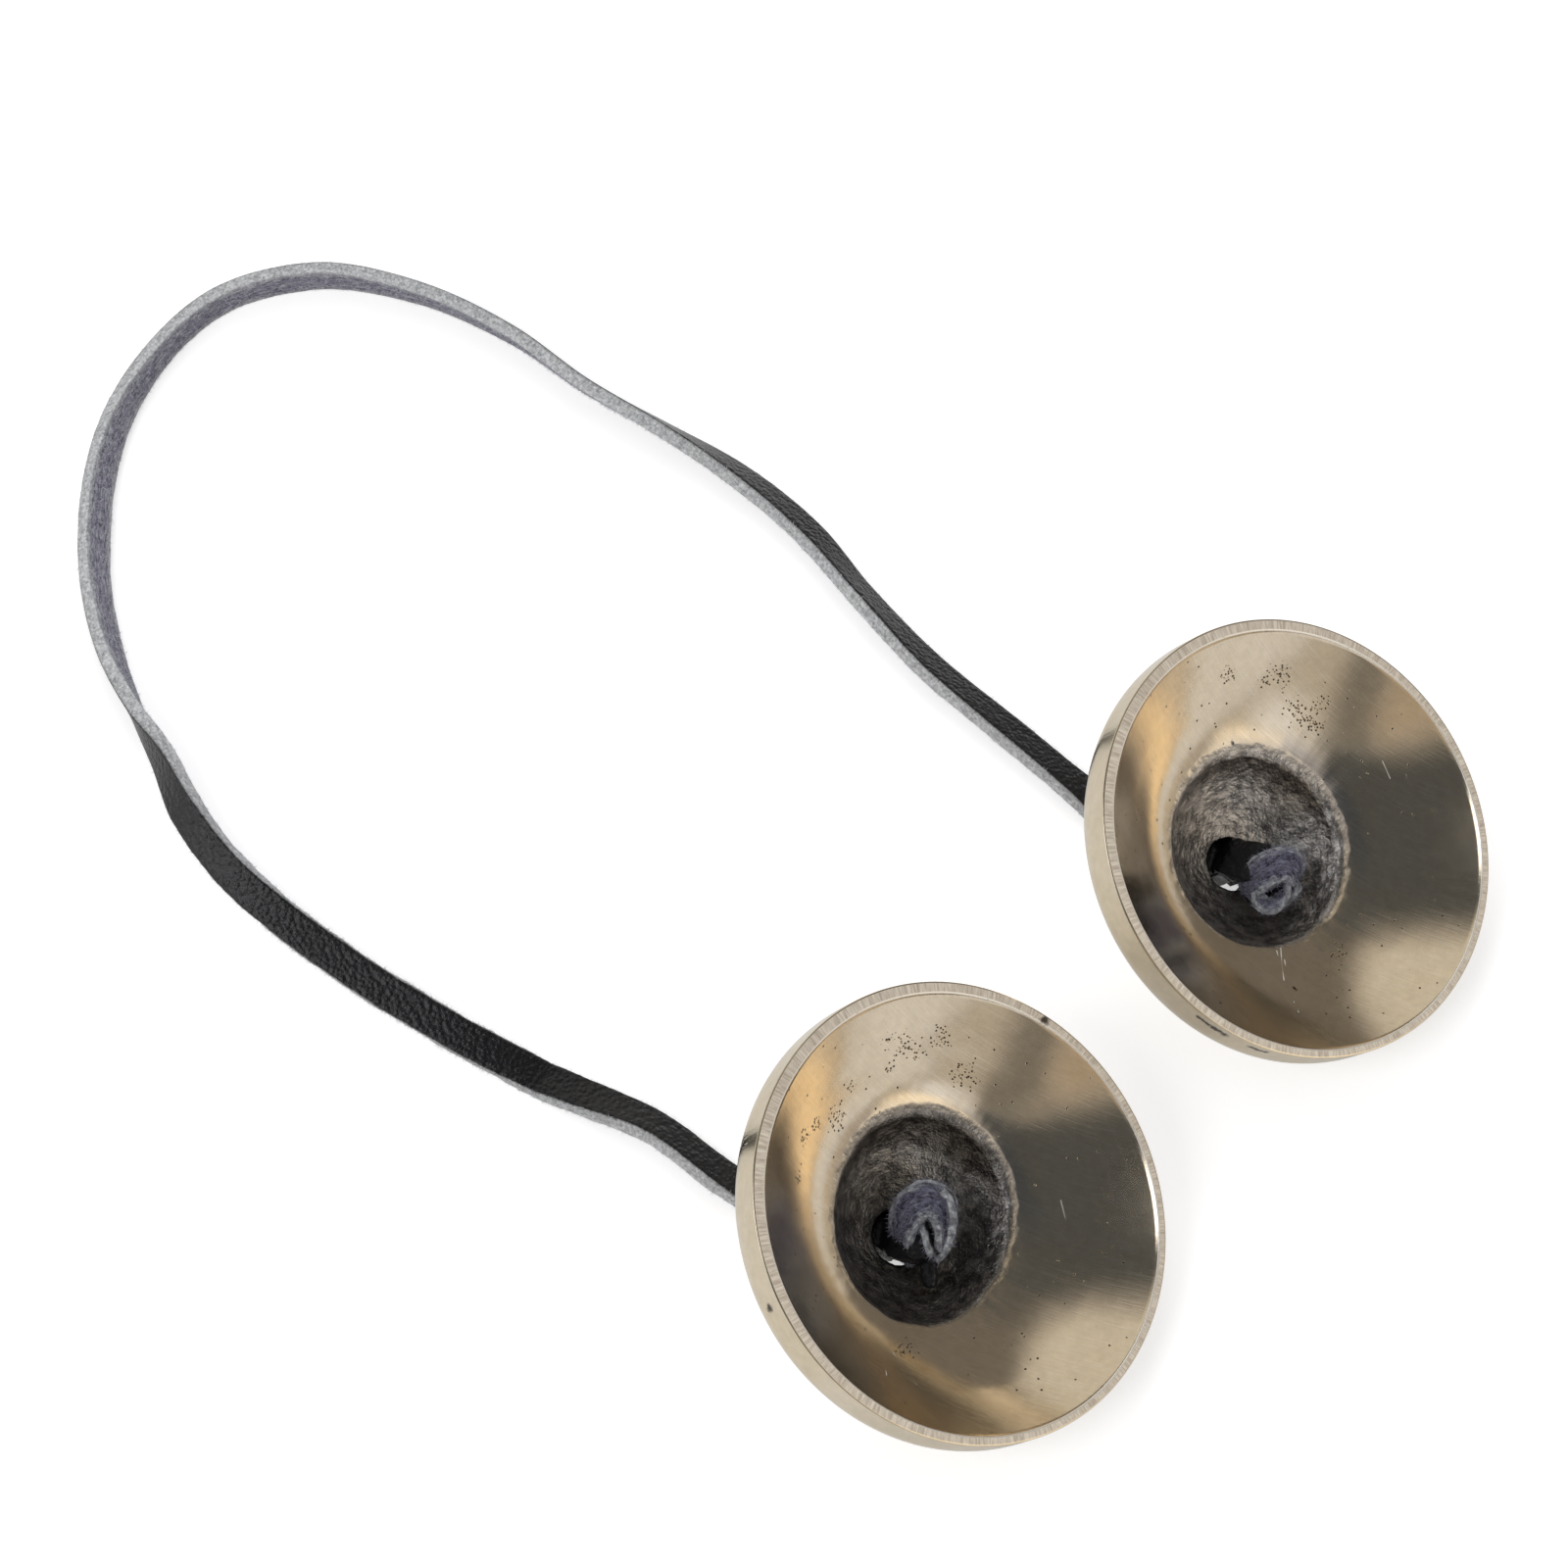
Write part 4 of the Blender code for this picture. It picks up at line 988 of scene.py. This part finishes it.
def leatherGroup():
    """Grain of the smooth side, nap of the suede side and fuzz of the cut edges, as one colour, gloss and height."""
    tree, given = newGroup("strapLeather", (("Space", "Vector"), ("Flesh", "Float"), ("Cut edge", "Float"), ("Painted shade", "Float")),
                           (("Colour", "Color"), ("Roughness", "Float"), ("Height", "Float")))
    space = given["Space"]

    def streaks(turn, stretch, low, high):
        turned = addNode(tree, "ShaderNodeMapping", {"Vector": space, "Rotation": (0.0, 0.0, turn), "Scale": stretch})
        return mapRange(tree, noiseAt(tree, turned.outputs[0], 1.0, 3.0, 0.6), low, high)

    pebble = addNode(tree, "ShaderNodeTexVoronoi", {"Vector": space, "Scale": 1500.0, "Randomness": 1.0},
                     feature="SMOOTH_F1")
    fine = noiseAt(tree, space, 3500.0, 5.0, 0.7)
    nap = noiseAt(tree, space, 2400.0, 6.0, 0.75)
    mottle = mapRange(tree, noiseAt(tree, space, 1300.0, 4.0, 0.65), 0.4, 0.6)
    fibres = calc(tree, "MAXIMUM", streaks(0.6, (700.0, 2900.0, 2200.0), 0.50, 0.66),
                  streaks(-0.5, (700.0, 2900.0, 2200.0), 0.52, 0.68))
    loose = calc(tree, "SUBTRACT", nap, 0.5)
    fleshEdge = calc(tree, "ADD", given["Flesh"], calc(tree, "MULTIPLY", loose, 0.5))
    suede = mapRange(tree, fleshEdge, 0.3, 0.5)
    ragged = calc(tree, "MULTIPLY", suede, calc(tree, "MULTIPLY", fibres, 0.45))
    ragged = calc(tree, "ADD", ragged, calc(tree, "MULTIPLY", loose, 0.7))
    cut = mapRange(tree, calc(tree, "ADD", given["Cut edge"], ragged), 0.35, 1.05)
    wear = mapRange(tree, noiseAt(tree, space, 900.0, 4.0, 0.7), 0.5, 0.75, 0.0, 0.4)
    grainTone = mixColour(tree, wear, (0.006, 0.006, 0.007), (0.020, 0.020, 0.023))
    napTone = mixColour(tree, mottle, (0.10, 0.097, 0.14), (0.25, 0.245, 0.31))
    napTone = mixColour(tree, calc(tree, "MULTIPLY", fibres, 0.7), napTone, (0.56, 0.56, 0.62))
    # painted shade: darker copies of the nap and the cut edges, for the knots in the cavity
    paintedShadeTone = mixColour(tree, mottle, (0.012, 0.011, 0.026), (0.11, 0.11, 0.17))
    paintedShadeTone = mixColour(tree, calc(tree, "MULTIPLY", fibres, 0.3), paintedShadeTone, (0.34, 0.34, 0.42))
    napTone = mixColour(tree, given["Painted shade"], napTone, paintedShadeTone)
    cutTone = mixColour(tree, mapRange(tree, nap, 0.35, 0.62), (0.30, 0.305, 0.31), (0.72, 0.73, 0.735))
    paintedShadeTone = mixColour(tree, mottle, (0.13, 0.135, 0.15), (0.50, 0.52, 0.53))
    cutTone = mixColour(tree, given["Painted shade"], cutTone, paintedShadeTone)
    tone = mixColour(tree, suede, grainTone, napTone)
    tone = mixColour(tree, cut, tone, cutTone)
    matt = calc(tree, "MAXIMUM", suede, cut)
    gloss = calc(tree, "ADD", 0.10, calc(tree, "MULTIPLY", fine, 0.10))
    gloss = calc(tree, "ADD", gloss, calc(tree, "MULTIPLY", matt, 0.5))
    smooth = calc(tree, "MULTIPLY", pebble.outputs["Distance"], -0.75)
    smooth = calc(tree, "ADD", smooth, calc(tree, "MULTIPLY", fine, 0.25))
    rough = calc(tree, "ADD", calc(tree, "MULTIPLY", nap, 0.7), calc(tree, "MULTIPLY", fibres, 0.3))
    height = addNode(tree, "ShaderNodeMix", {0: matt, 2: smooth, 3: rough}, data_type="FLOAT").outputs[0]
    addNode(tree, "NodeGroupOutput", {"Colour": tone, "Roughness": gloss, "Height": height})
    return tree


def leatherMaterial(name, group, paintedShade):
    material, tree, shader = newMaterial(name)
    inputs = {
        "Space": addNode(tree, "ShaderNodeAttribute", attribute_name="strapSpace").outputs["Vector"],
        "Flesh": addNode(tree, "ShaderNodeAttribute", attribute_name="flesh").outputs["Fac"],
        "Cut edge": addNode(tree, "ShaderNodeAttribute", attribute_name="cutEdge").outputs["Fac"],
    }
    leather = tree.nodes.new("ShaderNodeGroup")
    leather.node_tree = group
    for title, socket in inputs.items():
        tree.links.new(socket, leather.inputs[title])
    leather.inputs["Painted shade"].default_value = paintedShade
    tree.links.new(leather.outputs["Colour"], shader.inputs["Base Color"])
    tree.links.new(leather.outputs["Roughness"], shader.inputs["Roughness"])
    bump = addNode(tree, "ShaderNodeBump", {"Height": leather.outputs["Height"], "Strength": 0.8, "Distance": 0.00033})
    tree.links.new(bump.outputs["Normal"], shader.inputs["Normal"])
    return material


def napMaterial(kind):
    material, tree, shader = newMaterial(kind + "Fibres")
    shader.inputs["Base Color"].default_value = (*fibreSetup["colours"][kind], 1)
    shader.inputs["Roughness"].default_value = 0.9
    return material


# Set

def makeCamera():
    data = bpy.data.cameras.new("photoCamera")
    data.lens = cameraSetup["focalLength"]
    data.sensor_width = cameraSetup["sensor"]
    data.sensor_height = cameraSetup["sensor"]
    data.clip_start = 0.01
    camera = bpy.data.objects.new("photoCamera", data)
    bpy.context.scene.collection.objects.link(camera)
    rise = math.radians(cameraSetup["elevation"])
    back = Vector((0, -math.cos(rise), math.sin(rise))) * cameraSetup["distance"]
    camera.location = Vector(cameraSetup["target"]) + back
    camera.rotation_euler = (math.pi / 2 - rise, 0, 0)
    bpy.context.scene.camera = camera


def makeFloor():
    half = floorSetup["size"] / 2
    mesh = bpy.data.meshes.new("tableTop")
    mesh.from_pydata([(-half, -half, 0), (half, -half, 0), (half, half, 0), (-half, half, 0)], [], [(0, 1, 2, 3)])
    mesh.transform(Matrix.Translation((0, 0, -floorSetup["drop"])))
    floor = bpy.data.objects.new("tableTop", mesh)
    bpy.context.scene.collection.objects.link(floor)
    material, tree, shader = newMaterial("paleTable")
    shader.inputs["Base Color"].default_value = (*floorSetup["colour"], 1)
    shader.inputs["Roughness"].default_value = 0.9
    path = addNode(tree, "ShaderNodeLightPath")
    mirrored = calc(tree, "MULTIPLY", path.outputs["Is Glossy Ray"], floorSetup["mirrored"])
    seen = calc(tree, "MAXIMUM", path.outputs["Is Camera Ray"], mirrored)
    seen = calc(tree, "MAXIMUM", seen, path.outputs["Is Transmission Ray"])
    shader.inputs["Emission Color"].default_value = (1, 1, 1, 1)
    tree.links.new(calc(tree, "MULTIPLY", seen, floorSetup["glow"]), shader.inputs["Emission Strength"])
    mesh.materials.append(material)


def makeLamps():
    for name, place, target, size, power, colour in lampSetup:
        data = bpy.data.lights.new(name, "AREA")
        data.shape = "DISK"
        data.size = size
        data.energy = power
        data.color = colour
        lamp = bpy.data.objects.new(name, data)
        bpy.context.scene.collection.objects.link(lamp)
        lamp.visible_glossy = False
        lamp.location = place
        lamp.rotation_euler = (Vector(target) - Vector(place)).to_track_quat("-Z", "Y").to_euler()


def makeSky():
    world = bpy.data.worlds.new("softStudio")
    bpy.context.scene.world = world
    world.use_nodes = True
    tree = world.node_tree
    background = tree.nodes["Background"]
    way = addNode(tree, "ShaderNodeSeparateXYZ", {0: addNode(tree, "ShaderNodeTexCoord").outputs["Generated"]})
    x, y, z = way.outputs
    level = calc(tree, "SQRT", calc(tree, "ADD", calc(tree, "MULTIPLY", x, x), calc(tree, "MULTIPLY", y, y)))
    stretch = calc(tree, "DIVIDE", calc(tree, "MULTIPLY", calc(tree, "ARCCOSINE", z), 180 / math.pi),
                   calc(tree, "MAXIMUM", level, 0.0001))
    spots = [calc(tree, "MULTIPLY", part, stretch) for part in (x, y)]
    glow = skySetup["between"]
    for lowX, highX, lowY, highY, softX, softY, colour in skySetup["boxes"]:
        share = None
        for spot, low, high, soft in ((spots[0], lowX, highX, softX), (spots[1], lowY, highY, softY)):
            for edge, side in ((low, 1), (high, -1)):
                part = easeRange(tree, spot, edge - side * soft, edge + side * soft)
                share = part if share is None else calc(tree, "MULTIPLY", share, part)
        glow = mixColour(tree, share, glow, colour)
    path = addNode(tree, "ShaderNodeLightPath")
    seen = mixColour(tree, path.outputs["Is Glossy Ray"], skySetup["soft"], glow)
    seen = mixColour(tree, path.outputs["Is Camera Ray"], seen, (1.0, 1.0, 1.0))
    tree.links.new(seen, background.inputs["Color"])


print("camera and strap")
makeCamera()
leather = leatherGroup()
strapLeather = leatherMaterial("strapLeather", leather, 0.0)
# the knots get most of the painted shade, for the cavity they sit in
knotLeather = leatherMaterial("knotLeather", leather, 0.9)
strap, strapPath = freeStrap(strapLeather)
folds = {side: foldStrap(side, strapLeather) for side in ("left", "right")}
knots = {side: knot(side, knotLeather) for side in ("left", "right")}

print("fibres")
napping = napTree()
fibreMaterials = {kind: napMaterial(kind) for kind in ("strap", "knot")}
strapNap = nap(strap, "strap_nap", napping, fibreMaterials["strap"], fibreSetup["strap"])
knotNaps = {side: nap(knots[side], "knot_nap_" + side, napping, fibreMaterials["knot"], fibreSetup["knot"])
            for side in ("left", "right")}

print("cymbals")
turning = turningTree()
for side in ("left", "right"):
    bronze = cymbal(side, turning, bronzeMaterial(side))
    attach(bronze, "cymbal_" + side)
    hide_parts("cymbal_" + side)

print("strap on its bodies")
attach(strap, "strap")
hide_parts("strap")
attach(strapNap, "strap")
for side in ("left", "right"):
    place = foldPlace(side)
    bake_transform(folds[side])
    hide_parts("neck_" + side)
    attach(knots[side], "knot_" + side)
    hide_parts("knot_" + side)
    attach(knotNaps[side], "knot_" + side)
strapLength = float(np.linalg.norm(np.diff(strapPath, axis=0), axis=1).sum())
print("free strap", round(strapLength, 4))

print("floor, lamps and sky")
makeFloor()
makeLamps()
makeSky()
bpy.context.scene.view_settings.view_transform = "Standard"
